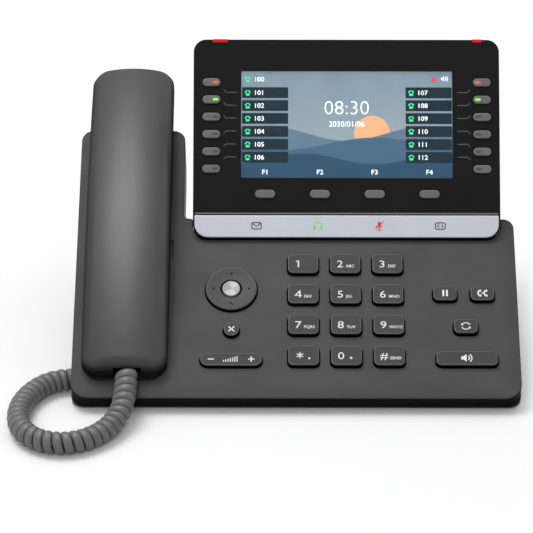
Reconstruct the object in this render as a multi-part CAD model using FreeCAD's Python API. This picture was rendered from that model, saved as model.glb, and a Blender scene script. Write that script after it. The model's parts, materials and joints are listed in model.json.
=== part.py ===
import FreeCAD, Part
import math
import os

# Desk telephone: wedge base with a keypad deck and a handset tower, tilting display panel,
# lift-off handset and curly cord. Millimetres, +Z up, +X right, -Y towards the user.
# The origin is on the table under the middle of the telephone, measured without its cord.

# Overall driving sizes
DEPTH = 180.4
BASE_WIDTH = 232.0
DECK_TILT = 27.76
DECK_DEPTH = 112.0
TOWER_DEPTH = 171.0
TOWER_WIDTH = 56.2
LIP_HEIGHT = 10.0
FRONT_WALL = 10.0
BODY_THICKNESS = 34.0
WALL = 2.2
PARTING = 9.0
LIP_CORNER = 7.0
REAR_CORNER = 7.0
INNER_CORNER = 2.5
EDGE_ROUND = 1.2
# flat faces round a key corner, and round a post or screw
CORNER_FLATS = 3
POST_SIDES = 12

# Recess at the rear of the deck that takes the foot of the panel
RECESS_LEFT = -55.2
RECESS_RIGHT = 109.1
RECESS_FRONT = 97.8
RECESS_DEPTH = 12.5
RECESS_CORNER = 5.2

# Deck keys
KEY_RISE = 2.5
KEY_GAP = 0.4
KEY_BEVEL = 0.7
KEY_FLANGE = 1.0
FLANGE_TOP = -2.6
FLANGE_BOTTOM = -3.8
STEM_BOTTOM = -5.0
STEM_RADIUS = 2.0
MAT_TOP = -6.6
BOARD_TOP = -8.0
BOARD_BOTTOM = -9.6
DIAL_NAMES = (("1", "2", "3"), ("4", "5", "6"), ("7", "8", "9"), ("star", "0", "hash"))
DIAL_LEFT = 3.84
DIAL_TOP = 81.4
DIAL_PITCH_X = 22.18
DIAL_PITCH_Y = 19.1
DIAL_SIZE = (15.9, 11.9, 2.6)
# name: centre across, centre up the deck, width, depth, corner radius
FUNCTION_KEYS = {
    "hold_key": (78.0, 62.7, 12.3, 8.5, 2.6),
    "transfer_key": (97.5, 62.7, 12.3, 8.5, 2.6),
    "redial_key": (88.2, 42.2, 12.3, 8.5, 2.6),
    "speaker_key": (88.2, 22.5, 31.6, 8.5, 2.6),
    "cancel_key": (-33.6, 40.2, 8.0, 8.0, 3.95),
}
ROCKER = (-33.6, 21.8, 31.8, 7.6, 3.75)
NAV_CENTRE = (-33.9, 65.9)
NAV_RADIUS = 13.4
OK_RADIUS = 4.7

# Display panel, in its own axes: across, up the panel, out of its face
PANEL_TILT = 54.0
PANEL_FOOT = (98.4, 3.0)
PANEL_LEFT = -54.6
PANEL_RIGHT = 108.5
PANEL_BOTTOM = -1.1
PANEL_TOP = 106.3
PANEL_BOTTOM_CORNER = 5.2
PANEL_TOP_CORNER = 6.7
FRAME_DEPTH = 11.0
PANEL_DEPTH = 16.0
BEZEL = 2.4
SCREEN = (27.1, 60.3, 112.6, 57.9)
STRIP = (-53.8, 107.7, -0.4, 11.2)
STRIP_THICKNESS = 1.8
LINE_KEY_X = (-45.0, 99.2)
LINE_KEY_TOP = 83.0
LINE_KEY_PITCH = 9.38
LINE_KEY_SIZE = (9.65, 4.4)
SOFT_KEY_X = (-16.3, 12.8, 41.9, 71.0)
SOFT_KEY_Y = 22.6
SOFT_KEY_SIZE = (10.9, 4.45)
PANEL_KEY_RISE = 0.9
PANEL_KEY_GAP = 0.32
PANEL_KEY_BEVEL = 0.4
LAMPS = ((-44.4, -36.4), (94.5, 99.2))
PIN_UP = 1.5
PIN_BEHIND = 8.5
PIN_RADIUS = 2.0

# Handset, in deck axes
HANDSET_MIDDLE = -88.5
HANDSET_WIDTH = 44.4
HANDSET_LOW = 11.2
HANDSET_HIGH = 203.8
HANDSET_CORNER_LOW = 7.0
HANDSET_CORNER_HIGH = 9.0
HANDSET_REST = 0.8
HANDSET_PARTING = 4.5
ARCH_HEIGHT = 22.5
ARCH_SAG = 10.5
CROWN_SAG = 4.5
PLUG_SIZE = (7.6, 7.0, 6.2)
PLUG_MIDDLE_W = 6.4
EAR_POD = (187.5, 34.0, 25.0, -8.0)
MOUTH_POD = (28.0, 30.0, 24.0, -4.8)
MOUTH_WELL = (28.0, 40.0, 36.0, 6.2)

# Curly cord: a wire wound round the route below
WIRE = 2.8
WIRE_SIDES = 6
COIL_RADIUS = 4.6
CURLS = 35
TAIL_BEND = 3.2
TAIL_LENGTH = 3.0
CORD_LIFT = 0.3

# Inside the base: places across and up the deck
SCREWS = ((109.0, 20.0), (109.0, 86.0), (-108.5, 62.0), (-108.5, 155.0), (-67.5, 155.0))
SCREW_SINK = 5.0
SCREW_RADIUS = 1.5
SCREW_HEAD = (3.0, 2.2)
BOSS_RADIUS = 4.0
BOARD = (25.5, 50.5, 158.0, 88.0)
BOARD_POSTS = ((-48.0, 12.0), (-48.0, 88.0), (98.0, 12.0), (98.0, 88.0))
SPEAKER = (HANDSET_MIDDLE, 96.0, 20.0)
HOOK = (HANDSET_MIDDLE, 148.0, 12.0, 7.0)
GRILLE_SLOTS = 5
GRILLE_PITCH = 5.0
GRILLE_SLOT = (24.0, 2.0)

# Sockets in the upright rear wall, heights above the table
JACK_X = (-42.0, 40.0)
JACK_TOP = 42.2
JACK_BOTTOM = 29.8
JACK_DEEP = 12.5
POWER_X = -32.0
POWER_RADIUS = 3.1
POWER_DEEP = 9.0
# middle across, width, height of each square socket
SOCKETS = ((-13.0, 11.8, 8.4), (6.0, 11.8, 8.4), (26.0, 8.0, 7.2))
SOCKET_DEEP = 11.0

# Stand: limits up the deck, sheet thickness, foot
STAND_HALF = 84.0
STAND_LOW = 60.0
STAND_HIGH = 97.0
STAND_SHEET = 3.0
STAND_REACH = 139.0
FOOT_LENGTH = 14.0

# Places that follow from the sizes above
V = FreeCAD.Vector
SIN_DECK = math.sin(math.radians(DECK_TILT))
COS_DECK = math.cos(math.radians(DECK_TILT))
TAN_DECK = SIN_DECK / COS_DECK
HALF_WIDTH = BASE_WIDTH / 2
TOWER_RIGHT = TOWER_WIDTH - HALF_WIDTH
LIP = V(0, -DEPTH / 2, LIP_HEIGHT)
ACROSS = V(1, 0, 0)
DECK_PLACE = FreeCAD.Placement(LIP, FreeCAD.Rotation(ACROSS, DECK_TILT))
PANEL_PLACE = FreeCAD.Placement(
    DECK_PLACE.multVec(V(0, *PANEL_FOOT)), FreeCAD.Rotation(ACROSS, PANEL_TILT)
)
INNER_TOP = -WALL
PIN_MIDDLE = PANEL_PLACE.multVec(V(0, PIN_UP, -PIN_BEHIND))
PIN_ON_DECK = DECK_PLACE.inverse().multVec(PIN_MIDDLE)
JACK_MIDDLE = (JACK_TOP + JACK_BOTTOM) / 2
REAR_WALL_Y = DECK_PLACE.multVec(V(0, DECK_DEPTH, -RECESS_DEPTH)).y
STAND_FOOT_Y = LIP.y + STAND_REACH
UNDERSIDE = LIP.z - FRONT_WALL * COS_DECK
PLUG_X = HANDSET_MIDDLE + 7.1
PLUG_SEAT = HANDSET_LOW + 11.0
EAR_FLOOR = EAR_POD[3] + WALL
MOUTH_FLOOR = MOUTH_POD[3] + WALL
# place along the handset, radius, bottom and top of each sound capsule
CAPSULES = ((EAR_POD[0], 10.5, EAR_FLOOR, 1.0), (MOUTH_POD[0] + 3, 5.0, MOUTH_FLOOR, 1.0))
CORD_Z = COIL_RADIUS + WIRE / 2 + CORD_LIFT
BASE_CORD_Y = LIP.y + 24.3
NOTCH_END = 20.0 - HALF_WIDTH
NOTCH_FRONT = BASE_CORD_Y - 6.8
NOTCH_REAR = BASE_CORD_Y + 10.4
NOTCH_TOP = 13.0


def placed(shape, placement):
    """A copy of a shape carried from its own axes to where the placement puts it."""
    moved = shape.copy()
    moved.Placement = placement.multiply(moved.Placement)
    return moved


def rounded_outline(corners, flats=0):
    """A closed wire through (x, y, radius) corners, each rounded by a tangent arc or a few flats."""
    edges = []
    spots = []
    for i, (x, y, radius) in enumerate(corners):
        here = V(x, y, 0)
        back = V(*corners[i - 1][:2], 0).sub(here).normalize()
        ahead = V(*corners[(i + 1) % len(corners)][:2], 0).sub(here).normalize()
        half = back.getAngle(ahead) / 2
        reach = radius / math.tan(half)
        middle = here + (back + ahead).normalize() * (radius / math.sin(half) - radius)
        spots.append((here + back * reach, middle, here + ahead * reach))
    for i, (enter, middle, leave) in enumerate(spots):
        if spots[i - 1][2].distanceToPoint(enter) > 1e-6:
            edges.append(Part.LineSegment(spots[i - 1][2], enter).toShape())
        bend = Part.Arc(enter, middle, leave)
        if flats:
            points = bend.discretize(flats + 1)
            edges += [Part.LineSegment(a, b).toShape() for a, b in zip(points, points[1:])]
        else:
            edges.append(bend.toShape())
    return Part.Wire(edges)


def lifted(wire, height):
    """A flat outline carried to a height."""
    moved = wire.copy()
    moved.translate(V(0, 0, height))
    return moved


def prism(outline, low, high):
    """The solid over a flat outline, from height low to height high."""
    face = Part.Face(outline)
    face.translate(V(0, 0, low))
    return face.extrude(V(0, 0, high - low))


def rounded_oblong(x, y, width, depth, radius, flats=0):
    """Outline of an oblong with rounded corners, centred on x, y."""
    west, east = x - width / 2, x + width / 2
    south, north = y - depth / 2, y + depth / 2
    corners = [(west, south), (east, south), (east, north), (west, north)]
    return rounded_outline([(a, b, radius) for a, b in corners], flats)


def rounded_box(x, y, width, depth, radius, low, high, flats=0):
    """An upright block with rounded corners, centred on x, y."""
    return prism(rounded_oblong(x, y, width, depth, radius, flats), low, high)


def key_cap(x, y, width, depth, radius, low, high, bevel):
    """A key's cap: straight walls of flats with a bevel round the top."""
    inset = 2 * bevel
    foot = rounded_oblong(x, y, width, depth, radius, CORNER_FLATS)
    crest = rounded_oblong(x, y, width - inset, depth - inset, radius - bevel, CORNER_FLATS)
    rings = [lifted(foot, low), lifted(foot, high - bevel), lifted(crest, high)]
    loops = [[vertex.Point for vertex in ring.OrderedVertexes] for ring in rings]
    faces = [Part.Face(rings[0]), Part.Face(rings[-1])]
    for under, over in zip(loops, loops[1:]):
        for i in range(len(under)):
            quad = [under[i - 1], under[i], over[i], over[i - 1], under[i - 1]]
            faces.append(Part.Face(Part.makePolygon(quad)))
    return Part.Solid(Part.makeShell(faces))


def block(x, y, width, depth, low, high):
    """A plain upright block, centred on x, y."""
    return Part.makeBox(width, depth, high - low, V(x - width / 2, y - depth / 2, low))


def span(x_pair, y_pair, z_pair):
    """A plain block given by its limits along each axis."""
    corner = V(x_pair[0], y_pair[0], z_pair[0])
    size = [pair[1] - pair[0] for pair in (x_pair, y_pair, z_pair)]
    return Part.makeBox(*size, corner)


def disc(x, y, radius, low, high):
    """An upright cylinder."""
    return Part.makeCylinder(radius, high - low, V(x, y, low))


def post(x, y, radius, low, high):
    """An upright many-sided post."""
    turns = [2 * math.pi * i / POST_SIDES for i in range(POST_SIDES)]
    loop = [V(x + radius * math.cos(a), y + radius * math.sin(a), low) for a in turns]
    return Part.Face(Part.makePolygon(loop + loop[:1])).extrude(V(0, 0, high - low))


def side_prism(points, left, right):
    """The solid whose side view is the polygon of (y, z) points, from x = left to x = right."""
    loop = [V(left, y, z) for y, z in points]
    return Part.Face(Part.makePolygon(loop + loop[:1])).extrude(V(right - left, 0, 0))


def chamfered_top(solid, height, size):
    """The solid with the edges round its top face bevelled."""
    rim = [e for e in solid.Edges if abs(e.BoundBox.ZMin - height) + abs(e.BoundBox.ZMax - height) < 1e-4]
    return solid.makeChamfer(size, rim)


# Base shells
def base_plan(inset):
    """The L-shaped outline of the base, drawn in by inset."""
    left, right = inset - HALF_WIDTH, HALF_WIDTH - inset
    rear, tower = DECK_DEPTH - inset, TOWER_DEPTH - inset
    side = TOWER_RIGHT - inset
    return rounded_outline([
        (left, inset, LIP_CORNER - inset),
        (right, inset, LIP_CORNER - inset),
        (right, rear, REAR_CORNER - inset),
        (side, rear, INNER_CORNER + inset),
        (side, tower, REAR_CORNER - inset),
        (left, tower, REAR_CORNER - inset),
    ])


def base_body(inset):
    """The base as one closed form, drawn in by inset on every side."""
    low = inset - BODY_THICKNESS
    body = prism(base_plan(inset), low, -inset)
    table_line = -FRONT_WALL + inset / COS_DECK
    tail = TOWER_DEPTH + 20.0 - inset * math.sqrt(2)
    past = TOWER_DEPTH + 5
    profile = [
        (-1, 1),
        (past, 1),
        (past, past - tail),
        (tail + low, low),
        ((table_line - low) / TAN_DECK, low),
        (-1, table_line + TAN_DECK),
    ]
    body = body.common(side_prism(profile, -BASE_WIDTH, BASE_WIDTH))
    upright = DECK_DEPTH + RECESS_DEPTH * TAN_DECK - inset / COS_DECK
    behind = [
        (upright + 5 * TAN_DECK, 5),
        (upright - 40 * TAN_DECK, -40),
        (TOWER_DEPTH + 10, -40),
        (TOWER_DEPTH + 10, 5),
    ]
    body = body.cut(side_prism(behind, TOWER_RIGHT - inset, BASE_WIDTH))
    grown = 2 * inset
    recess_x, recess_v = (RECESS_LEFT + RECESS_RIGHT) / 2, (RECESS_FRONT + TOWER_DEPTH) / 2
    recess_wide, recess_long = RECESS_RIGHT - RECESS_LEFT, TOWER_DEPTH - RECESS_FRONT
    recess = rounded_box(recess_x, recess_v, recess_wide + grown, recess_long + grown, RECESS_CORNER + inset,
                         -RECESS_DEPTH - inset, 5)
    body = body.cut(recess)
    well_v, well_wide, well_long, well_deep = MOUTH_WELL
    well = rounded_box(HANDSET_MIDDLE, well_v, well_wide + grown, well_long + grown, 8 + inset,
                       -well_deep - inset, 5)
    return body.cut(well).cut(cord_notch(inset))


def cord_notch(inset):
    """The notch low in the left wall where the cord goes in, in deck axes."""
    x_pair = (-HALF_WIDTH - 5, NOTCH_END + inset)
    y_pair = (NOTCH_FRONT - inset, NOTCH_REAR + inset)
    return placed(span(x_pair, y_pair, (-5, NOTCH_TOP + inset)), DECK_PLACE.inverse())


def key_places():
    """Every sprung deck key: name to (centre x, centre y, width, depth, corner)."""
    places = {}
    for row, names in enumerate(DIAL_NAMES):
        for column, name in enumerate(names):
            x = DIAL_LEFT + column * DIAL_PITCH_X
            y = DIAL_TOP - row * DIAL_PITCH_Y
            places["key_" + name] = (x, y, *DIAL_SIZE)
    places.update(FUNCTION_KEYS)
    return places


def jack_block():
    """The block behind the jacks, in table axes."""
    return span(JACK_X, (REAR_WALL_Y - JACK_DEEP, REAR_WALL_Y), (JACK_BOTTOM, JACK_TOP))


def base_covers():
    """Top and bottom shells of the base, parted along a plane that runs with the deck."""
    outer = base_body(0)
    shell = outer.cut(base_body(WALL))
    half_space = block(0, 85, 300, 300, -PARTING, 50)
    top = shell.common(half_space)
    bottom = shell.cut(half_space)
    rim = [e for e in top.Edges if e.BoundBox.ZMin > -1e-4 and on_outline(e)]
    top = top.makeFillet(EDGE_ROUND, rim)
    hole = SCREW_RADIUS + 0.2
    for x, y in SCREWS:
        top = top.fuse(post(x, y, BOSS_RADIUS, -PARTING, INNER_TOP))
        top = top.cut(post(x, y, hole, -PARTING - 1, -4.0))
        bottom = bottom.fuse(post(x, y, BOSS_RADIUS, -BODY_THICKNESS, -PARTING).common(outer))
        bottom = bottom.cut(post(x, y, hole, screw_seat(y), 0))
        bottom = bottom.cut(post(x, y, SCREW_HEAD[0] + 0.4, -BODY_THICKNESS - 5, screw_seat(y)))
    for x, y in BOARD_POSTS:
        bottom = bottom.fuse(post(x, y, 3.0, -BODY_THICKNESS, BOARD_BOTTOM).common(outer))
    for left, right in ((RECESS_LEFT - 8, RECESS_LEFT), (RECESS_RIGHT, HALF_WIDTH - 1)):
        boss = Part.makeCylinder(3.6, right - left, V(left, PIN_ON_DECK.y, PIN_ON_DECK.z), ACROSS)
        top = top.fuse(boss)
    bore_left, bore_right = RECESS_LEFT - 5.8, RECESS_RIGHT + 3.6
    bore = Part.makeCylinder(PIN_RADIUS + 0.2, bore_right - bore_left,
                             V(bore_left, PIN_ON_DECK.y, PIN_ON_DECK.z), ACROSS)
    top = top.cut(bore)
    for x, y, width, depth, corner in [*key_places().values(), ROCKER]:
        gap = 2 * KEY_GAP
        hole_corner = corner + KEY_GAP
        top = top.cut(rounded_box(x, y, width + gap, depth + gap, hole_corner, -5, 5, CORNER_FLATS))
    top = top.cut(disc(*NAV_CENTRE, NAV_RADIUS + KEY_GAP, -5, 5))
    x, y, width, depth = HOOK
    top = top.cut(block(x, y, width, depth, -5, 5))
    for i in range(GRILLE_SLOTS):
        slot_y = SPEAKER[1] + (i - (GRILLE_SLOTS - 1) / 2) * GRILLE_PITCH
        top = top.cut(block(SPEAKER[0], slot_y, *GRILLE_SLOT, -5, 5))
    bottom = bottom.cut(placed(jack_block(), DECK_PLACE.inverse()))
    return placed(top.removeSplitter(), DECK_PLACE), placed(bottom.removeSplitter(), DECK_PLACE)


def screw_seat(y):
    """Height of a screw head's seat, a little above the underside at that place."""
    return max(-BODY_THICKNESS, -FRONT_WALL - y * TAN_DECK) + SCREW_SINK


def on_outline(edge):
    """Whether an edge of the deck's top face runs along the base's own outline."""
    spot = edge.valueAt((edge.FirstParameter + edge.LastParameter) / 2)
    vertex = Part.Vertex(spot)
    near = base_plan(0).distToShape(vertex)[0] < 1e-3
    in_recess = RECESS_LEFT - 1 < spot.x < RECESS_RIGHT + 1 and spot.y > RECESS_FRONT - 1
    return near and not in_recess


# Deck keys
def deck_key(x, y, width, depth, corner):
    """A moulded key: bevelled cap through the deck, retaining flange under it, contact stem."""
    cap = key_cap(x, y, width, depth, corner, FLANGE_TOP, KEY_RISE, KEY_BEVEL)
    spread = 2 * KEY_FLANGE
    flange = block(x, y, width + spread, depth + spread, FLANGE_BOTTOM, FLANGE_TOP)
    stem = block(x, y, 2 * STEM_RADIUS, 2 * STEM_RADIUS, STEM_BOTTOM, FLANGE_BOTTOM)
    return cap.fuse(flange).fuse(stem)


def volume_rocker():
    """A long key that rocks on a rib across its middle."""
    x, y, width, depth, corner = ROCKER
    cap = key_cap(x, y, width, depth, corner, -2.2, 2.2, KEY_BEVEL)
    return cap.fuse(block(x, y, 3, depth - 1, -4.6, -2.2))


def nav_ring():
    """Dished four-way ring with a hole for the middle button and a short skirt below."""
    x, y = NAV_CENTRE
    points = [(5.3, -4.6), (8.8, -4.6), (8.8, -1.8), (NAV_RADIUS, -1.8),
              (NAV_RADIUS, 1.6), (NAV_RADIUS - 0.8, 2.3), (9.0, 1.7), (5.3, 1.3)]
    loop = [V(x + r, y, z) for r, z in points]
    face = Part.Face(Part.makePolygon(loop + loop[:1]))
    return face.revolve(V(x, y, 0), V(0, 0, 1), 360)


def nav_carrier():
    """Flat gimbal ring under the deck that carries the four-way ring."""
    low, high = -4.6, -3.4
    return disc(*NAV_CENTRE, 13.0, low, high).cut(disc(*NAV_CENTRE, 9.6, low - 1, high + 1))


def ok_button():
    """Round domed button in the middle of the ring."""
    low, high = -5.0, 1.9
    return chamfered_top(disc(*NAV_CENTRE, OK_RADIUS, low, high), high, 0.6)


# Inside and under the base
def keypad_mat():
    """Silicone contact mat lying on the board."""
    x, y, width, depth = BOARD
    return rounded_box(x, y, width - 8, depth - 6, 4, BOARD_TOP, MAT_TOP)


def main_board():
    """Circuit board on its four posts."""
    x, y, width, depth = BOARD
    return rounded_box(x, y, width, depth, 3, BOARD_BOTTOM, BOARD_TOP)


def loudspeaker():
    """Hands-free loudspeaker under the cradle's grille: frame and magnet."""
    x, y, radius = SPEAKER
    return post(x, y, radius, -7, INNER_TOP).fuse(post(x, y, 0.6 * radius, -15, -7))


def hook_switch():
    """Sprung plunger that the resting handset holds down."""
    x, y, width, depth = HOOK
    cap = block(x, y, width - 1, depth - 1, -7, 0.3)
    return cap.fuse(block(x, y, width + 3, depth + 3, -8.2, -7))


def base_screws():
    """Screws that draw the two shells together, heads sunk in the underside."""
    screws = []
    for x, y in SCREWS:
        radius, height = SCREW_HEAD
        head = post(x, y, radius, screw_seat(y) - height, screw_seat(y))
        screws.append(head.fuse(post(x, y, SCREW_RADIUS, screw_seat(y), -5.0)))
    return Part.makeCompound(screws)


def rear_jacks():
    """Block of sockets in the upright rear wall: power, two network, headset."""
    jacks = jack_block()
    power = Part.makeCylinder(POWER_RADIUS, POWER_DEEP,
                              V(POWER_X, REAR_WALL_Y - POWER_DEEP, JACK_MIDDLE), V(0, 1, 0))
    jacks = jacks.cut(power)
    for x, width, height in SOCKETS:
        x_pair = (x - width / 2, x + width / 2)
        z_pair = (JACK_MIDDLE - height / 2, JACK_MIDDLE + height / 2)
        jacks = jacks.cut(span(x_pair, (REAR_WALL_Y - SOCKET_DEEP, REAR_WALL_Y + 1), z_pair))
    return jacks


def foot_stand():
    """Clip-in stand: a flange on the underside, a leg to the table and end ribs."""
    top = DECK_PLACE.multVec(V(0, STAND_LOW, -BODY_THICKNESS))
    bend = DECK_PLACE.multVec(V(0, STAND_HIGH, -BODY_THICKNESS))
    under = DECK_PLACE.multVec(V(0, STAND_LOW, -BODY_THICKNESS - STAND_SHEET))
    foot = V(0, STAND_FOOT_Y, UNDERSIDE)
    toe = V(0, STAND_FOOT_Y - FOOT_LENGTH, UNDERSIDE)
    heel = toe + V(0, 0, STAND_SHEET)
    leg = foot.sub(bend).normalize()
    inner_bend = bend + V(0, -1.5 * STAND_SHEET, -1.6 * STAND_SHEET)
    knee = inner_bend + leg * ((inner_bend.z - heel.z) / -leg.z)
    sheet = [top, bend, foot, toe, heel, knee, inner_bend, under]
    stand = side_prism([(p.y, p.z) for p in sheet], -STAND_HALF, STAND_HALF)
    rib = [top, bend, foot, toe, heel, under]
    for left in (-STAND_HALF, STAND_HALF - STAND_SHEET):
        stand = stand.fuse(side_prism([(p.y, p.z) for p in rib], left, left + STAND_SHEET))
    window = span((-30, 30), (bend.y + 4, STAND_FOOT_Y - 8), (heel.z + 1, 60))
    return stand.cut(window).removeSplitter()


def rubber_feet():
    """Two pads under the lip and two under the stand."""
    pads = []
    for x in (-92.0, 92.0):
        pads.append(rounded_box(x, LIP.y + 13.0, 22, 9, 4, 0, UNDERSIDE, CORNER_FLATS))
    for x in (-66.0, 66.0):
        middle = STAND_FOOT_Y - FOOT_LENGTH / 2
        pads.append(rounded_box(x, middle, 26, 9, 4, 0, UNDERSIDE, CORNER_FLATS))
    return Part.makeCompound(pads)


# Display panel, in panel axes
def panel_outline(inset):
    """Front outline of the panel, drawn in by inset."""
    left, right = PANEL_LEFT + inset, PANEL_RIGHT - inset
    bottom, top = PANEL_BOTTOM + inset, PANEL_TOP - inset
    low, high = max(PANEL_BOTTOM_CORNER - inset, 1.5), max(PANEL_TOP_CORNER - inset, 1.5)
    return rounded_outline([
        (left, bottom, low), (right, bottom, low), (right, top, high), (left, top, high)
    ])


def line_key_places():
    """Names and centres of the keys that stand beside the screen, and of those below it."""
    places = {}
    for side, x in zip(("left", "right"), LINE_KEY_X):
        for i in range(6):
            places[f"line_key_{side}_{i + 1}"] = (x, LINE_KEY_TOP - i * LINE_KEY_PITCH, *LINE_KEY_SIZE)
    for i, x in enumerate(SOFT_KEY_X):
        places[f"soft_key_{i + 1}"] = (x, SOFT_KEY_Y, *SOFT_KEY_SIZE)
    return places


def lamp(x_pair, slack):
    """One lamp window on the panel's top edge, grown by slack."""
    spread = (x_pair[0] - slack, x_pair[1] + slack)
    return span(spread, (PANEL_TOP - 1.4 - slack, PANEL_TOP + 0.2), (-6 - slack, 0.1 + slack))


def panel_frame():
    """Bezel tray: window with a lens seat, strip seat, key holes and hinge corners."""
    frame = prism(panel_outline(0), -FRAME_DEPTH, 0)
    front = [e for e in frame.Edges if e.BoundBox.ZMin > -1e-4]
    frame = frame.makeChamfer(0.6, front)
    frame = frame.cut(prism(panel_outline(WALL), -FRAME_DEPTH - 1, -BEZEL))
    for left in (PANEL_LEFT + 1, PANEL_RIGHT - 9):
        corner = span((left, left + 8), (PANEL_BOTTOM + 1, 7), (-FRAME_DEPTH, -BEZEL))
        frame = frame.fuse(corner.common(prism(panel_outline(0.5), -FRAME_DEPTH, 0)))
    x, y, width, height = SCREEN
    frame = frame.cut(block(x, y, width, height, -5, 1))
    frame = frame.cut(block(x, y, width + 4, height + 4, -1.2, 1))
    left, right, low, high = STRIP
    corner = PANEL_BOTTOM_CORNER - 1.0
    strip_seat = rounded_outline([
        (left, low, corner), (right, low, corner), (right, high, 0.4), (left, high, 0.4)
    ])
    frame = frame.cut(prism(strip_seat, -STRIP_THICKNESS + 0.2, 1))
    for x, y, width, depth in line_key_places().values():
        gap = 2 * PANEL_KEY_GAP
        hole_corner = (depth + gap) / 2 - 0.05
        frame = frame.cut(rounded_box(x, y, width + gap, depth + gap, hole_corner, -5, 1, CORNER_FLATS))
    for x_pair in LAMPS:
        frame = frame.cut(lamp(x_pair, 0))
    return frame.cut(hinge_pin_solids()).removeSplitter()


def hinge_pin_solids():
    """The two stub pins, in panel axes."""
    left = Part.makeCylinder(PIN_RADIUS, 13.5, V(PANEL_LEFT - 6.0, PIN_UP, -PIN_BEHIND), ACROSS)
    right = Part.makeCylinder(PIN_RADIUS, 11.0, V(PANEL_RIGHT - 7.5, PIN_UP, -PIN_BEHIND), ACROSS)
    return Part.makeCompound([left, right])


def panel_back():
    """Rear shell that slopes in from the bezel to a flat back."""
    outer = Part.makeLoft([lifted(panel_outline(0), -FRAME_DEPTH), lifted(panel_outline(5.0), -PANEL_DEPTH)],
                          True, True)
    inner_back = -PANEL_DEPTH + WALL
    inner = Part.makeLoft([lifted(panel_outline(WALL), -FRAME_DEPTH), lifted(panel_outline(6.4), inner_back)],
                          True, True)
    return outer.cut(inner)


def display_lens():
    """Clear window seated flush in the bezel."""
    x, y, width, height = SCREEN
    return block(x, y, width + 4, height + 4, -1.2, 0)


def display_module():
    """Display behind the bezel, with its active face raised into the window."""
    x, y, width, height = SCREEN
    return block(x, y, width + 6, height + 6, -7, -BEZEL).fuse(block(x, y, width, height, -BEZEL, -1.2))


def icon_strip():
    """Silver key strip along the panel's foot."""
    left, right, low, high = STRIP
    corner = PANEL_BOTTOM_CORNER - 1.0
    outline = rounded_outline([
        (left, low, corner), (right, low, corner), (right, high, 0.4), (left, high, 0.4)
    ])
    return prism(outline, -STRIP_THICKNESS + 0.2, 0.2)


def panel_key(x, y, width, depth):
    """A pill-shaped key with a square flange behind the bezel."""
    corner = depth / 2 - 0.05
    cap = key_cap(x, y, width, depth, corner, FLANGE_TOP, PANEL_KEY_RISE, PANEL_KEY_BEVEL)
    return cap.fuse(block(x, y, width + 1.6, depth + 1.6, FLANGE_TOP - 1, FLANGE_TOP))


# Handset, in deck axes
def handset_plan(inset):
    """Outline of the handset from above its back."""
    half = HANDSET_WIDTH / 2 - inset
    left, right = HANDSET_MIDDLE - half, HANDSET_MIDDLE + half
    low, high = HANDSET_LOW + inset, HANDSET_HIGH - inset
    low_corner, high_corner = HANDSET_CORNER_LOW - inset, HANDSET_CORNER_HIGH - inset
    return rounded_outline([
        (left, low, low_corner), (right, low, low_corner),
        (right, high, high_corner), (left, high, high_corner),
    ])


def handset_arch():
    """Slab bent along the handset's length and crowned across it."""
    half_long = (HANDSET_HIGH - HANDSET_LOW) / 2
    bend = (half_long ** 2 + ARCH_SAG ** 2) / (2 * ARCH_SAG)
    middle = (HANDSET_HIGH + HANDSET_LOW) / 2
    top = ARCH_HEIGHT
    half = HANDSET_WIDTH / 2
    low = V(HANDSET_MIDDLE - half, middle, -30)
    high = V(HANDSET_MIDDLE - half, middle, top - CROWN_SAG)
    crest = V(HANDSET_MIDDLE, middle, top)
    wide = V(HANDSET_WIDTH, 0, 0)
    edges = [
        Part.LineSegment(low, high).toShape(),
        Part.Arc(high, crest, high + wide).toShape(),
        Part.LineSegment(high + wide, low + wide).toShape(),
        Part.LineSegment(low + wide, low).toShape(),
    ]
    axis = V(HANDSET_MIDDLE, middle, ARCH_HEIGHT - bend)
    face = Part.Face(Part.Wire(edges))
    face.rotate(axis, ACROSS, -20)
    return face.revolve(axis, ACROSS, 40)


def handset_hollow():
    """Space inside the back, under the crown's edges, bent like it along the handset."""
    roof = ARCH_HEIGHT - CROWN_SAG - WALL
    ends = roof - ARCH_SAG
    middle = (HANDSET_HIGH + HANDSET_LOW) / 2
    side = HANDSET_MIDDLE - HANDSET_WIDTH / 2
    start, finish = V(side, HANDSET_LOW, ends), V(side, HANDSET_HIGH, ends)
    low_start, low_finish = V(side, HANDSET_LOW, 0), V(side, HANDSET_HIGH, 0)
    edges = [
        Part.Arc(start, V(side, middle, roof), finish).toShape(),
        Part.LineSegment(finish, low_finish).toShape(),
        Part.LineSegment(low_finish, low_start).toShape(),
        Part.LineSegment(low_start, start).toShape(),
    ]
    return Part.Face(Part.Wire(edges)).extrude(V(HANDSET_WIDTH, 0, 0))


def plug_pocket():
    """Pocket in the handset's lower end for the cord's plug."""
    return span((PLUG_X - 12.6, PLUG_X + 4.4), (HANDSET_LOW - 1, PLUG_SEAT), (-1.0, 10.0))


def handset_top_shell():
    """Arched back of the handset, a hollow moulding open towards the front shell."""
    low = HANDSET_PARTING
    body = handset_arch().common(prism(handset_plan(0), low, 40))
    rim = [e for e in body.Edges if e.BoundBox.ZMin > low + 0.3 and not upright(e)]
    body = body.makeFillet(2.0, rim)
    hollow = handset_hollow().common(prism(handset_plan(WALL), low - 1, 40))
    pocket_wall = span((PLUG_X - 14.6, PLUG_X + 6.4), (HANDSET_LOW, PLUG_SEAT + 2), (0, 20))
    return body.cut(hollow.cut(pocket_wall)).cut(plug_pocket()).removeSplitter()


def upright(edge):
    """Whether an edge stands square to the deck."""
    return abs(edge.BoundBox.XLength) < 1e-4 and abs(edge.BoundBox.YLength) < 1e-4


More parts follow.
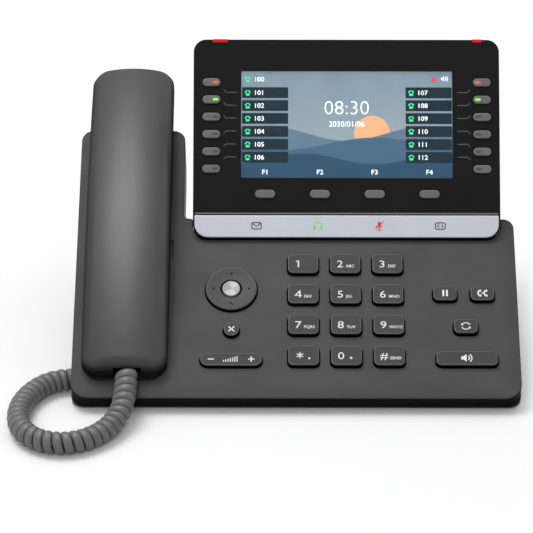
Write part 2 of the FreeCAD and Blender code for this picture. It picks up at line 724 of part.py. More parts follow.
def handset_bottom_shell():
    """Front of the handset: a flat tray with an earpiece pod and a mouthpiece pod."""
    shell = prism(handset_plan(0), HANDSET_REST, HANDSET_PARTING)
    for y, width, length, low in (EAR_POD, MOUTH_POD):
        pod = rounded_box(HANDSET_MIDDLE, y, width, length, 10, low, HANDSET_REST)
        rim = [e for e in pod.Edges if e.BoundBox.ZMax < low + 1e-4]
        shell = shell.fuse(pod.makeChamfer(1.5, rim))
    for y, radius, low, high in CAPSULES:
        shell = shell.cut(disc(HANDSET_MIDDLE, y, radius + 0.3, low, 20))
    return shell.cut(plug_pocket()).removeSplitter()


def handset_receiver():
    """Earpiece capsule and microphone capsule."""
    return Part.makeCompound([
        disc(HANDSET_MIDDLE, y, radius, low, high) for y, radius, low, high in CAPSULES
    ])


def handset_plug():
    """Clear plug seated in the handset's lower end."""
    width, length, height = PLUG_SIZE
    z_pair = (PLUG_MIDDLE_W - height / 2, PLUG_MIDDLE_W + height / 2)
    return span((PLUG_X - width / 2, PLUG_X + width / 2), (PLUG_SEAT - length, PLUG_SEAT), z_pair)


# Curly cord, in table axes
def cord_tail_offset():
    """How far the straight lead stands beside the coil's middle line."""
    return math.hypot(COIL_RADIUS, TAIL_BEND)


def cord_route():
    """Points of the coil's middle line, from the handset over the lip and table to the base."""
    beside = PLUG_X - cord_tail_offset()
    start = PLUG_SEAT - PLUG_SIZE[1] - TAIL_LENGTH - TAIL_BEND
    points = [DECK_PLACE.multVec(V(beside, start, PLUG_MIDDLE_W))]
    from_lip = [
        (-87.2, -8.0, 12.9), (-91.3, -19.6, 7.7), (-99.0, -30.5, CORD_Z), (-109.5, -38.3, CORD_Z),
        (-121.5, -39.9, CORD_Z), (-133.0, -34.8, CORD_Z), (-140.0, -24.3, CORD_Z),
        (-142.0, -11.3, CORD_Z), (-140.5, 0.5, CORD_Z), (-136.2, 11.0, CORD_Z),
        (-129.6, 19.6, CORD_Z), (-120.4, 24.3, CORD_Z),
    ]
    points += [V(x, LIP.y + y, z) for x, y, z in from_lip]
    end_x = NOTCH_END - PLUG_SIZE[1] - TAIL_LENGTH - TAIL_BEND
    points.append(V(end_x, BASE_CORD_Y, CORD_Z))
    return points


class Route:
    """Straight runs joined by tangent arcs, measured along its length."""

    def __init__(self, points):
        self.pieces = []
        self.radii = []
        here = points[0]
        for before, corner, after in zip(points, points[1:], points[2:]):
            back, ahead = before.sub(corner), after.sub(corner)
            half = (math.pi - back.getAngle(ahead)) / 2
            reach = 0.45 * min(back.Length, ahead.Length)
            radius = reach / math.tan(half)
            enter = corner + back.normalize() * reach
            leave = corner + ahead.normalize() * reach
            middle = corner + (back + ahead).normalize() * (radius / math.cos(half) - radius)
            self.pieces.append(Part.LineSegment(here, enter))
            self.pieces.append(Part.Arc(enter, middle, leave))
            self.radii.append(radius)
            here = leave
        self.pieces.append(Part.LineSegment(here, points[-1]))
        self.lengths = [piece.length() for piece in self.pieces]
        self.length = sum(self.lengths)

    def at(self, along):
        """Place and direction at a distance from the start."""
        for piece, length in zip(self.pieces, self.lengths):
            if along <= length or piece is self.pieces[-1]:
                parameter = piece.parameterAtDistance(min(along, length), piece.FirstParameter)
                return piece.value(parameter), V(*piece.tangent(parameter)[0]).normalize()
            along -= length


def coil_point(route, along, turn):
    """A point of the wound wire, at an angle counted from the side of the route."""
    middle, ahead = route.at(along)
    side = ahead.cross(V(0, 0, 1)).normalize()
    up = side.cross(ahead)
    return middle + (side * math.cos(turn) + up * math.sin(turn)) * COIL_RADIUS


def arc_between(start, direction, end):
    """The arc that leaves start along direction and ends at end."""
    chord = end.sub(start)
    half = direction.getAngle(chord) / 2
    aim = (direction + V(chord).normalize()).normalize()
    return Part.Arc(start, start + aim * (chord.Length / (2 * math.cos(half))), end)


def biarc(start, start_way, end, end_way):
    """Two tangent arcs that leave start along start_way and reach end along end_way."""
    chord = end.sub(start)
    ways = start_way + end_way
    spread = 2 * (1 - start_way.dot(end_way))
    lean = chord.dot(ways)
    reach = (math.sqrt(lean ** 2 + spread * chord.dot(chord)) - lean) / spread
    joint = (start + start_way * reach + end - end_way * reach) * 0.5
    first = arc_between(start, start_way, joint)
    second = arc_between(end, end_way * -1, joint)
    return [first, Part.Arc(joint, second.value((second.FirstParameter + second.LastParameter) / 2), end)]


def handset_cord():
    """One unbroken wire: straight lead, bend, curls, bend, straight lead."""
    route = Route(cord_route())
    lean = math.atan2(TAIL_BEND, COIL_RADIUS)
    start_turn = math.pi + lean
    end_turn = math.pi - lean + 2 * math.pi * CURLS

    def wire_point(share):
        return coil_point(route, share * route.length, start_turn + share * (end_turn - start_turn))

    steps = 2 * CURLS
    spots = []
    for i in range(steps + 1):
        share = i / steps
        nearby = 0.02 / steps
        ahead = wire_point(min(share + nearby, 1)).sub(wire_point(max(share - nearby, 0)))
        spots.append((wire_point(share), ahead.normalize()))
    leads = []
    for (spot, way), square in ((spots[0], route.at(0)[1] * -1), (spots[-1], route.at(route.length)[1])):
        out = way * (-1 if spot is spots[0][0] else 1)
        out = out.sub(square * out.dot(square)).normalize()
        bend_end = spot + (out + square) * TAIL_BEND
        leads.append((out, bend_end, bend_end + square * TAIL_LENGTH, square))
    spots[0] = (spots[0][0], leads[0][0] * -1)
    spots[-1] = (spots[-1][0], leads[1][0])
    curves = [Part.LineSegment(leads[0][2], leads[0][1])]
    curves.append(arc_between(leads[0][1], leads[0][3] * -1, spots[0][0]))
    for (start, start_way), (end, end_way) in zip(spots, spots[1:]):
        curves += biarc(start, start_way, end, end_way)
    curves.append(arc_between(spots[-1][0], spots[-1][1], leads[1][1]))
    curves.append(Part.LineSegment(leads[1][1], leads[1][2]))
    path = Part.Wire([curve.toShape() for curve in curves])
    section = wire_section(leads[0][2], leads[0][3] * -1)
    cord = path.makePipeShell([section], True, False)
    area = Part.Face(section).Area
    print("cord radii", [round(r, 1) for r in route.radii])
    print("cord axis", round(route.length, 1), "wire", round(path.Length, 1), "pitch",
          round(route.length / CURLS, 2))
    print("cord volume over section times length", round(cord.Volume / (area * path.Length), 4))
    print("cord least gap", round(least_gap(curves), 2), "tightest", tightest(curves))
    return cord, leads


def wire_section(centre, way):
    """Many-sided section of the wire, corner to corner WIRE across, standing across the way."""
    side = way.cross(V(0, 0, 1)).normalize()
    up = side.cross(way)
    corners = [2 * math.pi * i / WIRE_SIDES for i in range(WIRE_SIDES)]
    loop = [centre + (side * math.cos(a) + up * math.sin(a)) * (WIRE / 2) for a in corners]
    return Part.Wire(Part.makePolygon(loop + loop[:1]))


def tightest(curves):
    """Smallest radius among the arcs."""
    bends = [curve.toShape().Curve for curve in curves]
    return round(min(bend.Radius for bend in bends if hasattr(bend, "Radius")), 2)


def least_gap(curves):
    """Least distance between turns of the wire, on points along it, less the wire itself."""
    points = []
    for curve in curves:
        for i in range(6):
            share = i / 6
            points.append(curve.value(curve.FirstParameter
                                      + share * (curve.LastParameter - curve.FirstParameter)))
    own = 12
    reach = 60
    nearest = min(
        points[i].distanceToPoint(points[j])
        for i in range(len(points))
        for j in range(i + own, min(i + reach, len(points)))
    )
    return nearest - WIRE


def base_plug(lead_end):
    """Plug at the base end, seated against the inner end of the notch."""
    length, width, height = PLUG_SIZE[1], PLUG_SIZE[0], PLUG_SIZE[2]
    x_pair = (NOTCH_END - length, NOTCH_END)
    y_pair = (lead_end.y - width / 2, lead_end.y + width / 2)
    return span(x_pair, y_pair, (lead_end.z - height / 2, lead_end.z + height / 2))


def build():
    """Every piece of the telephone, by name, in its place."""
    parts = {}
    parts["top_cover"], parts["bottom_cover"] = base_covers()
    for name, place in key_places().items():
        parts[name] = placed(deck_key(*place), DECK_PLACE)
    deck_pieces = (volume_rocker, nav_ring, nav_carrier, ok_button, keypad_mat, main_board, loudspeaker,
                   hook_switch, base_screws, handset_top_shell, handset_bottom_shell, handset_receiver,
                   handset_plug)
    for make in deck_pieces:
        parts[make.__name__] = placed(make(), DECK_PLACE)
    for make in (rear_jacks, foot_stand, rubber_feet):
        parts[make.__name__] = make()
    for make in (panel_frame, panel_back, display_lens, display_module, icon_strip):
        parts[make.__name__] = placed(make(), PANEL_PLACE)
    parts["hinge_pins"] = placed(hinge_pin_solids(), PANEL_PLACE)
    parts["message_lamps"] = placed(Part.makeCompound([lamp(pair, 0) for pair in LAMPS]), PANEL_PLACE)
    for name, place in line_key_places().items():
        parts[name] = placed(panel_key(*place), PANEL_PLACE)
    parts["handset_cord"], leads = handset_cord()
    parts["base_plug"] = base_plug(leads[1][2])
    return parts


os.makedirs("parts", exist_ok=True)
for piece_name, piece in build().items():
    piece.exportStep(f"parts/{piece_name}.step")
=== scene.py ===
"""Looks of a desk telephone with a tilting display panel and a curly handset cord."""

from __future__ import annotations
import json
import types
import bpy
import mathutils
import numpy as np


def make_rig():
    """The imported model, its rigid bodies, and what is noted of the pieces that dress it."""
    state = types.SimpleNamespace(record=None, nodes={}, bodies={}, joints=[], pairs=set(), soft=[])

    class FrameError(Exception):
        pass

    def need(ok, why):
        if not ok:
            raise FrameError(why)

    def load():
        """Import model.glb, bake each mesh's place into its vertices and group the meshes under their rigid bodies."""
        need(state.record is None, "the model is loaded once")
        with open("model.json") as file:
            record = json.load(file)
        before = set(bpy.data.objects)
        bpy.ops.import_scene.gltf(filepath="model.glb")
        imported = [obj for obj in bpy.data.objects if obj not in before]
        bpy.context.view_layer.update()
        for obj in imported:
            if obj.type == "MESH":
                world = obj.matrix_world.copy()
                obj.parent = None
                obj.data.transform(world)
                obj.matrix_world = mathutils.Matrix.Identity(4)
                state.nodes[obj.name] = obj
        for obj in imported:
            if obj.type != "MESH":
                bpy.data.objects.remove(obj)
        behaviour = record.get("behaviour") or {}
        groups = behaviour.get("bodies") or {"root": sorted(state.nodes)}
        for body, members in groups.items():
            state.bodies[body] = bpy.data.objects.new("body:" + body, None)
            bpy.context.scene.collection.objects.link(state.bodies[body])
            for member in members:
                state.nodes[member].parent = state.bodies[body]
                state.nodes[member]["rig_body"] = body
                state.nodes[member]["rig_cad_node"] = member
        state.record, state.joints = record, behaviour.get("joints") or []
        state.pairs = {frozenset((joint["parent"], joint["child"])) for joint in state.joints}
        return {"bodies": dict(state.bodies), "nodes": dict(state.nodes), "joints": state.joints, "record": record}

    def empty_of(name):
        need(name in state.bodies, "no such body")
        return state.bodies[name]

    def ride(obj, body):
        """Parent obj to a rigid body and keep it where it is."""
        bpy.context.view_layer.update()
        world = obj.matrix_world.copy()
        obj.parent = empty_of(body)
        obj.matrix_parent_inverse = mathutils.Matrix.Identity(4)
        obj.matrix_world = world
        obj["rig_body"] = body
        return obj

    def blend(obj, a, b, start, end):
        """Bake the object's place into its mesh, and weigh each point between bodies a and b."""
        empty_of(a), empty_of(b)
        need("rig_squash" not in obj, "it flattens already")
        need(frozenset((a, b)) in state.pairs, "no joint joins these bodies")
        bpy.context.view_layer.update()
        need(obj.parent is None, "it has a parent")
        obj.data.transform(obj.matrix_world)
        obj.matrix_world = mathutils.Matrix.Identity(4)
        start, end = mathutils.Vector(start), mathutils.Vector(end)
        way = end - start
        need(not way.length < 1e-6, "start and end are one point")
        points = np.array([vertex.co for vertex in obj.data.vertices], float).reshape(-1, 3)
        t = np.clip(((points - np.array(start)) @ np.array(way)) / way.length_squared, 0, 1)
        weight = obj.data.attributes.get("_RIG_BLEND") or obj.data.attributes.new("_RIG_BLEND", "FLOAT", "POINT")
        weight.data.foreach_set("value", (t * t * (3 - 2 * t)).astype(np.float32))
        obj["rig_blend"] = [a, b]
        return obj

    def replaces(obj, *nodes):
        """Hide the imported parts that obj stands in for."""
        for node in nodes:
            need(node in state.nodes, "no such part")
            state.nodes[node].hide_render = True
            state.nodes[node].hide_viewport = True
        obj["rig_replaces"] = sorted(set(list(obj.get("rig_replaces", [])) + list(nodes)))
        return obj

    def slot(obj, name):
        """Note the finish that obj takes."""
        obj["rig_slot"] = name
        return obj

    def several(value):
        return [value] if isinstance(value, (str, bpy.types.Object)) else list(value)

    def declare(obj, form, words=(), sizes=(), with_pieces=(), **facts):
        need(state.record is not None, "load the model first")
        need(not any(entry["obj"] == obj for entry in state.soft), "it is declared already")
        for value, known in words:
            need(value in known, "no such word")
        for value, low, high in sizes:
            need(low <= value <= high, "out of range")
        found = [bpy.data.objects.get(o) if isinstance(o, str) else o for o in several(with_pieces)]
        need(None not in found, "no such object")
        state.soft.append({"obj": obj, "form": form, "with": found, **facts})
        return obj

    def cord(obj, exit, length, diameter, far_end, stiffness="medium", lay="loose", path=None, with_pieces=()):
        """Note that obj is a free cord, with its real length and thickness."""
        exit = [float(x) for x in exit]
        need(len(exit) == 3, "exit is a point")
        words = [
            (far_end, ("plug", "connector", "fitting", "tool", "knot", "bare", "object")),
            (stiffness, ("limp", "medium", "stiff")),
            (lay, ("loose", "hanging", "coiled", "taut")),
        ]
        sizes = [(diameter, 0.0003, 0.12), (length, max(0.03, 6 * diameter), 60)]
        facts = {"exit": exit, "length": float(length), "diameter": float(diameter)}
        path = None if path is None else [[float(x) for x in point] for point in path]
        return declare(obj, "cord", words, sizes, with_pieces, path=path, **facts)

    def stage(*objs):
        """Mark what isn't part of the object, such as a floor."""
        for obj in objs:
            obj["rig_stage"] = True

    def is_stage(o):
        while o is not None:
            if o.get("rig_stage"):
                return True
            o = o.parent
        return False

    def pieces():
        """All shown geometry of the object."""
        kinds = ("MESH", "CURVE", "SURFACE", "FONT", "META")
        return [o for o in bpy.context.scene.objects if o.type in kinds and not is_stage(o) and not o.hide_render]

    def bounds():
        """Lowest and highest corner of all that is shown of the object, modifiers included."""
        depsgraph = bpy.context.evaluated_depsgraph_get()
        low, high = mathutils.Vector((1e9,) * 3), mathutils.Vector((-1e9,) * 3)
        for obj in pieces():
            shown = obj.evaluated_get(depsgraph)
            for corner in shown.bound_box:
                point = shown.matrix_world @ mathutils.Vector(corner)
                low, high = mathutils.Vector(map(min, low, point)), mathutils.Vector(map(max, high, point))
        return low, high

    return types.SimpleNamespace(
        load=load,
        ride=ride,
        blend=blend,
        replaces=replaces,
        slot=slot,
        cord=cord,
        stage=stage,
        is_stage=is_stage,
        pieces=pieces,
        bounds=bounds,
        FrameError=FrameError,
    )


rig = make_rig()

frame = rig.load()
BOUNDS_OF_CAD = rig.bounds()

import json
import logging
import math
from dataclasses import dataclass, field
from enum import Enum
from typing import Callable, Iterable, Sequence

import bmesh
import bpy
from mathutils import Matrix, Vector
from mathutils.geometry import delaunay_2d_cdt

LOG = logging.getLogger("telephone")

MM = 0.001
DECK_TILT = 27.76
DECK_NORMAL = (0.0, -0.466, 0.885)
PANEL_TILT = 54.0
LIP = Vector((0.0, -0.0902, 0.010))
PANEL_FOOT = (98.4, 3.0)

# Angle in degrees from which an edge is crisp, and distances in millimetres within which points are one
CRISP = 32.0
SAME_POINT = 1e-5
SAME_CORNER = 1e-7

Point = tuple[float, float]
Triple = tuple[float, float, float]
Colour = tuple[float, float, float]
Ring = list[int]
Feed = bpy.types.NodeSocket | bpy.types.Node | str | float | Sequence[float]


def srgb(red: float, green: float, blue: float) -> Colour:
    """A colour as it is seen, 0 to 255, in the linear values that shaders take."""
    shares = [value / 255 for value in (red, green, blue)]
    return tuple(share / 12.92 if share <= 0.04045 else ((share + 0.055) / 1.055) ** 2.4 for share in shares)


def grey(level: float) -> Colour:
    """A neutral grey as it is seen, 0 to 255."""
    return srgb(level, level, level)


# Places

@dataclass(frozen=True)
class Place:
    """Millimetre axes of one face of the telephone, set and tilted in the row frame."""

    origin: Vector
    tilt: float = 0.0

    def matrix(self) -> Matrix:
        """From these axes, in millimetres, to the row frame, in metres."""
        turn = Matrix.Rotation(math.radians(self.tilt), 4, "X")
        return Matrix.Translation(self.origin) @ turn @ Matrix.Scale(MM, 4)

    def at(self, x: float, y: float, z: float = 0.0) -> Vector:
        """The row-frame point of a place on these axes."""
        return self.matrix() @ Vector((x, y, z))


DECK = Place(LIP, DECK_TILT)
PANEL = Place(DECK.at(0.0, *PANEL_FOOT), PANEL_TILT)
TABLE = Place(Vector((0.0, LIP.y, 0.0)))
FRONT = Place(LIP, DECK_TILT + 90.0)


# Outlines

class Outline(list[Point]):
    """A closed line of points, with the outward direction at each where it is known."""

    def __init__(self, points: Iterable[Point], outward: Iterable[Vector] = ()) -> None:
        """Takes the points and their outward directions."""
        super().__init__(points)
        self.outward = list(outward)


def rounded(corners: Sequence[Triple], steps: int = 6, runs: Sequence[int] = ()) -> Outline:
    """An anticlockwise outline with rounded corners.

    Args:
        corners: x, y and radius of each corner.
        steps: Chords in each rounded corner.
        runs: Parts that the straight run after each corner is divided into.

    Returns:
        The outline.
    """
    points: list[Point] = []
    outward: list[Vector] = []
    count = len(corners)
    for index, (x, y, radius) in enumerate(corners):
        here = Vector((x, y))
        back = (Vector(corners[index - 1][:2]) - here).normalized()
        ahead = (Vector(corners[(index + 1) % count][:2]) - here).normalized()
        half = back.angle(ahead) / 2
        centre = here + (back + ahead).normalized() * (radius / math.sin(half))
        arm = here + back * (radius / math.tan(half)) - centre
        turn = math.copysign(math.pi - 2 * half, ahead.x * back.y - ahead.y * back.x)
        for step in range(steps + 1):
            reach = Matrix.Rotation(turn * step / steps, 2) @ arm
            points.append(tuple(centre + reach))
            outward.append(reach.normalized() * math.copysign(1.0, turn))
        if runs:
            after = corners[(index + 1) % count]
            last, normal = Vector(points[-1]), outward[-1]
            stop = Vector(after[:2]) - ahead * after[2]
            for part in range(1, runs[index]):
                points.append(tuple(last.lerp(stop, part / runs[index])))
                outward.append(normal)
    return Outline(points, outward)


def box(x_span: Point, y_span: Point, low: float, high: float, steps: int = 6,
        runs: Sequence[int] = ()) -> Outline:
    """A rectangle between two sides and two ends, with a lower and an upper corner radius."""
    (left, right), (bottom, top) = x_span, y_span
    return rounded([(left, bottom, low), (right, bottom, low), (right, top, high), (left, top, high)],
                   steps, runs)


def oblong(x: float, y: float, wide: float, deep: float, radius: float, steps: int = 6) -> Outline:
    """A rounded rectangle about a middle point."""
    return box((x - wide / 2, x + wide / 2), (y - deep / 2, y + deep / 2), radius, radius, steps)


def disc(x: float, y: float, radius: float, sides: int = 40) -> Outline:
    """A circle about a middle point."""
    ways = [Vector(polar(0.0, 0.0, 1.0, 360.0 * side / sides)) for side in range(sides)]
    return Outline([(x + radius * way.x, y + radius * way.y) for way in ways], ways)


def polar(x: float, y: float, radius: float, turn: float) -> Point:
    """The point at a distance from a middle, at an angle in degrees."""
    way = math.radians(turn)
    return x + radius * math.cos(way), y + radius * math.sin(way)


def arc_band(x: float, y: float, radius: float, wide: float, start: float, end: float) -> Outline:
    """A stroke of even width along an arc, from one angle to another in degrees."""
    turns = [start + (end - start) * step / 10 for step in range(11)]
    return Outline([polar(x, y, radius + wide / 2, turn) for turn in turns]
                   + [polar(x, y, radius - wide / 2, turn) for turn in reversed(turns)])


def stroke(points: Sequence[Point], wide: float) -> Outline:
    """A stroke of even width along an open line.

    Args:
        points: The line's points.
        wide: Width of the stroke.

    Returns:
        The outline.
    """
    right: list[Point] = []
    left: list[Point] = []
    for index, point in enumerate(points):
        before = Vector(points[max(index - 1, 0)])
        after = Vector(points[min(index + 1, len(points) - 1)])
        along = (after - before).normalized() * (wide / 2)
        right.append((point[0] + along.y, point[1] - along.x))
        left.append((point[0] - along.y, point[1] + along.x))
    return Outline(right + left[::-1])


def grown(outline: Outline, by: float) -> Outline:
    """An outline moved outwards by a distance, or inwards if it is negative."""
    ways = outline.outward
    return Outline([(x + way.x * by, y + way.y * by) for (x, y), way in zip(outline, ways, strict=True)],
                   ways) if by else outline


def holds(outline: Sequence[Point], x: float, y: float) -> bool:
    """Whether a point lies inside an outline."""
    crossed = [x < ax + (y - ay) * (bx - ax) / (by - ay)
               for (ax, ay), (bx, by) in zip(outline, outline[1:] + outline[:1]) if (ay > y) != (by > y)]
    return sum(crossed) % 2 == 1


def rounding(radius: float, top: float, steps: int = 4) -> list[Point]:
    """Profile of a rounded top edge, from the wall to the face."""
    turns = [math.pi / 2 * step / steps for step in range(steps + 1)]
    return [(-radius + radius * math.cos(turn), top - radius + radius * math.sin(turn)) for turn in turns]


def rolled_in(radius: float, depth: float) -> list[Point]:
    """Profile of an opening, from the face over a rounded edge down to a depth."""
    return [(radius, 0.0), (0.3 * radius, -0.3 * radius), (0.0, -radius), (0.0, -depth)]


# Node trees

class Family(Enum):
    """Families of nodes."""

    GROUP = "NodeGroup"
    SHADER = "ShaderNode"
    GEOMETRY = "GeometryNode"


class Wiring:
    """A node tree that is put together node by node."""

    def __init__(self, tree: bpy.types.NodeTree, family: Family) -> None:
        """Takes the tree to work on and the family of its nodes."""
        self.tree, self.family = tree, family

    def feed(self, socket: bpy.types.NodeSocket, value: Feed) -> None:
        """Links another node's output to an input, or sets the input's own value.

        Args:
            socket: The input.
            value: The output, the node whose first output it is, or the value.
        """
        if isinstance(value, bpy.types.Node):
            value = value.outputs[0]
        if isinstance(value, bpy.types.NodeSocket):
            self.tree.links.new(value, socket)
        else:
            socket.default_value = value

    def add(self, kind: str, *inputs: Feed, **named: Feed) -> bpy.types.Node:
        """A new node.

        Args:
            kind: Its type, without the family's name.
            inputs: What its first inputs take, in their order.
            named: Its settings, in small letters, and what other inputs take, by names that start
                with a capital and have _ for a space.

        Returns:
            The node.
        """
        made = self.tree.nodes.new(self.family.value + kind)
        for key, value in named.items():
            if key[0].islower():
                setattr(made, key, value)
        for place, value in enumerate(inputs):
            self.feed(made.inputs[place], value)
        for key, value in named.items():
            if key[0].isupper():
                self.feed(made.inputs[key.replace("_", " ")], value)
        return made


# Finishes

@dataclass(frozen=True)
class Finish:
    """A procedural surface finish, with sizes in millimetres.

    Attributes:
        colour: Linear colour of the surface.
        rough: Roughness about which the surface varies.
        mottle: Share by which the colour varies from patch to patch.
        patch: Size of those patches.
        grain: Strength of the moulded grain.
        grain_size: Size of one grain.
        specular: Strength of the shine.
        clear: Share of the light that passes through.
        bend: Index of refraction.
        glow: Strength of the light that the surface gives off.
    """

    name: str
    colour: Colour
    rough: float = 0.5
    metal: float = 0.0
    mottle: float = 0.05
    patch: float = 14.0
    grain: float = 0.1
    grain_size: float = 0.35
    specular: float = 0.5
    clear: float = 0.0
    bend: float = 1.5
    glow: float = 0.0

    def material(self) -> bpy.types.Material:
        """The material of this finish, made on first use.

        Returns:
            The material.
        """
        name = f"finish_{self.name}"
        known = bpy.data.materials.get(name)
        if known:
            return known
        made = bpy.data.materials.new(name)
        made.use_nodes = True
        wiring = Wiring(made.node_tree, Family.SHADER)
        self.plain(wiring)
        self.vary(wiring)
        return made

    def plain(self, wiring: Wiring) -> None:
        """Builds the mottled colour, the uneven roughness and the grain.

        Args:
            wiring: The material's nodes.
        """
        patch_detail, grain_detail = 3.0, 2.0
        patch_stops = (0.3, 0.7)
        slack = min(0.07, self.rough)
        grain_depth = 0.1 * self.grain_size * MM
        coords = wiring.add("TexCoord", name="coords").outputs["Object"]
        patches = wiring.add("TexNoise", Vector=coords, Scale=1.0 / (self.patch * MM),
                             Detail=patch_detail)
        fine = wiring.add("TexNoise", Vector=coords, Scale=1.0 / (self.grain_size * MM),
                          Detail=grain_detail)
        ramp = wiring.add("ValToRGB", name="colours", Fac=patches)
        shares = (1 - self.mottle, 1 + self.mottle)
        for element, place, share in zip(ramp.color_ramp.elements, patch_stops, shares):
            element.position = place
            element.color = (*[min(channel * share, 1.0) for channel in self.colour], 1.0)
        spread = wiring.add("MapRange", Value=fine, To_Min=self.rough - slack,
                            To_Max=min(self.rough + slack, 1.0))
        bump = wiring.add("Bump", Strength=self.grain, Distance=grain_depth, Height=fine)
        sockets = {
            "Base Color": ramp, "Roughness": spread,
            "Normal": bump, "Metallic": self.metal, "Specular IOR Level": self.specular,
            "Transmission Weight": self.clear, "IOR": self.bend, "Emission Strength": self.glow,
        }
        if self.glow:
            sockets["Emission Color"] = ramp
        shader = wiring.tree.nodes["Principled BSDF"]
        for socket, value in sockets.items():
            wiring.feed(shader.inputs[socket], value)

    def vary(self, wiring: Wiring) -> None:
        """What a kind of finish adds to the plain one, which is nothing here."""


@dataclass(frozen=True)
class SpunPaintedSheenFinish(Finish):
    """Metal turned on a lathe, with a painted sheen: pale sectors painted into its colour, opposite each other about a
    middle on the deck.

    Attributes:
        middle: The middle, in millimetres.
        painted_sheen_fans: Number of pale sectors painted as sheen.
        turn: Angle that the painted sectors start at, in radians.
    """

    middle: Point = (-33.9, 65.9)
    painted_sheen_fans: float = 2.0
    turn: float = 0.6

    def vary(self, wiring: Wiring) -> None:
        """Paints the sheen: sets the patches of the colour out round the middle.

        Args:
            wiring: The material's nodes.
        """
        nodes = wiring.tree.nodes
        level = wiring.add("Mapping", vector_type="TEXTURE", Vector=nodes["coords"].outputs["Object"],
                           Location=DECK.at(*self.middle), Rotation=(math.radians(DECK_TILT), 0.0, self.turn))
        around = wiring.add("TexGradient", gradient_type="RADIAL", Vector=level)
        swing = wiring.add("Math", around.outputs["Fac"], math.tau * self.painted_sheen_fans, operation="MULTIPLY")
        wave = wiring.add("Math", swing, operation="SINE")
        share = wiring.add("MapRange", Value=wave, From_Min=-1.0)
        wiring.feed(nodes["colours"].inputs["Fac"], share)


class Axis(Enum):
    """Axes of the row frame."""

    ALONG = "Y"
    UP = "Z"


@dataclass(frozen=True)
class FadeFinish(Finish):
    """A finish that passes into another colour along an axis, with places in metres.

    Attributes:
        colour_below: Linear colour below the lowest place.
        axis: Axis that the places are on.
        lowest: Place up to which the other colour is whole.
        highest: Place from which it is gone.
    """

    colour_below: Colour = (0.0, 0.0, 0.0)
    axis: Axis = Axis.UP
    lowest: float = 0.08
    highest: float = 0.13

    def vary(self, wiring: Wiring) -> None:
        """Sets the two colours out along the axis.

        Args:
            wiring: The material's nodes.
        """
        nodes = wiring.tree.nodes
        parts = wiring.add("SeparateXYZ", nodes["coords"].outputs["Object"])
        share = wiring.add("MapRange", Value=parts.outputs[self.axis.value], From_Min=self.lowest,
                           From_Max=self.highest)
        blend = wiring.add("MixRGB", share, (*self.colour_below, 1.0),
                           nodes["colours"])
        for socket in ("Base Color", "Emission Color"):
            wiring.feed(nodes["Principled BSDF"].inputs[socket], blend)


@dataclass(frozen=True)
class EdgeFinish(Finish):
    """A plastic that is glossy on its broad face, and dull where it turns away from it, where its colour is also
    darkened as painted shade.

    Attributes:
        facing: The way that the broad face looks.
        dull_at: Share of that way in the surface's normal at which the gloss is gone.
        gloss_at: Share at which the gloss is whole.
        painted_edge_shade: Linear colour, darkened as painted shade, where the gloss is gone.
    """

    facing: Triple = (0.0, 0.0, 1.0)
    dull_at: float = 0.5
    gloss_at: float = 0.88
    painted_edge_shade: Colour = (0.0, 0.0, 0.0)

    def vary(self, wiring: Wiring) -> None:
        """Sets the gloss, and the colour with its painted shade, out by the surface's normal.

        Args:
            wiring: The material's nodes.
        """
        nodes = wiring.tree.nodes
        shader = nodes["Principled BSDF"]
        facing = wiring.add("VectorMath", nodes["coords"].outputs["Normal"], self.facing,
                            operation="DOT_PRODUCT")
        share = wiring.add("MapRange", interpolation_type="SMOOTHSTEP", Value=facing.outputs["Value"],
                           From_Min=self.dull_at, From_Max=self.gloss_at)
        # The edge colour is painted shade; the edge roughness is real dullness.
        for socket, edge in (("Base Color", self.painted_edge_shade), ("Roughness", (1.0, 1.0, 1.0))):
            broad = shader.inputs[socket].links[0].from_socket
            blend = wiring.add("MixRGB", share, (*edge, 1.0), broad)
            wiring.feed(shader.inputs[socket], blend)


def screen_finish(name: str, red: float, green: float, blue: float) -> Finish:
    """A lit colour on the display."""
    return Finish(f"screen_{name}", srgb(red, green, blue), rough=0.8, mottle=0.03, patch=9.0, grain=0.0,
                  specular=0.0, glow=0.6)


DECK_PLASTIC = Finish("deck_plastic", grey(78), specular=0.12, mottle=0.1, patch=22, grain=0.5,
                      grain_size=0.3)
# Black plastic for the hook switch, inner walls and parting groove; also painted shade on the deck's front walls, the
# walls beside the panel and the rims of the deck's openings.
BLACK_PLASTIC_AND_PAINTED_SHADE = Finish("black_plastic_and_painted_shade", grey(23), rough=0.6, mottle=0.1, grain=0.3, specular=0.03)
# Its front end is darkened to black as painted shade, continuing the deck's front band.
TUB_GREY_FRONT_PAINTED_SHADE = FadeFinish("tub_grey_front_painted_shade", grey(72), rough=0.48, specular=0.32, mottle=0.1, patch=20, grain=0.5,
                      grain_size=0.3, colour_below=grey(23), axis=Axis.ALONG, lowest=-0.0815, highest=-0.08)
REAR_GREY = Finish("rear_grey", grey(66), rough=0.46, specular=0.32, mottle=0.09, patch=20, grain=0.4,
                   grain_size=0.3)
# Its darker edge colour is painted shade where the back turns away from the deck's normal.
HANDSET_PLASTIC = EdgeFinish("handset_plastic", grey(60), rough=0.37, specular=0.6, patch=30, grain=0.2,
                             facing=DECK_NORMAL, painted_edge_shade=grey(42))
# Painted shade on the handset's walls: a darker, dull copy of the handset plastic.
HANDSET_WALL_PAINTED_SHADE = Finish("handset_wall_painted_shade", grey(52), rough=0.7, specular=0.0, mottle=0.06, patch=30, grain=0.2)
HANDSET_UNDER = Finish("handset_under", grey(72), rough=0.45, specular=0.4, mottle=0.06, patch=30, grain=0.2)
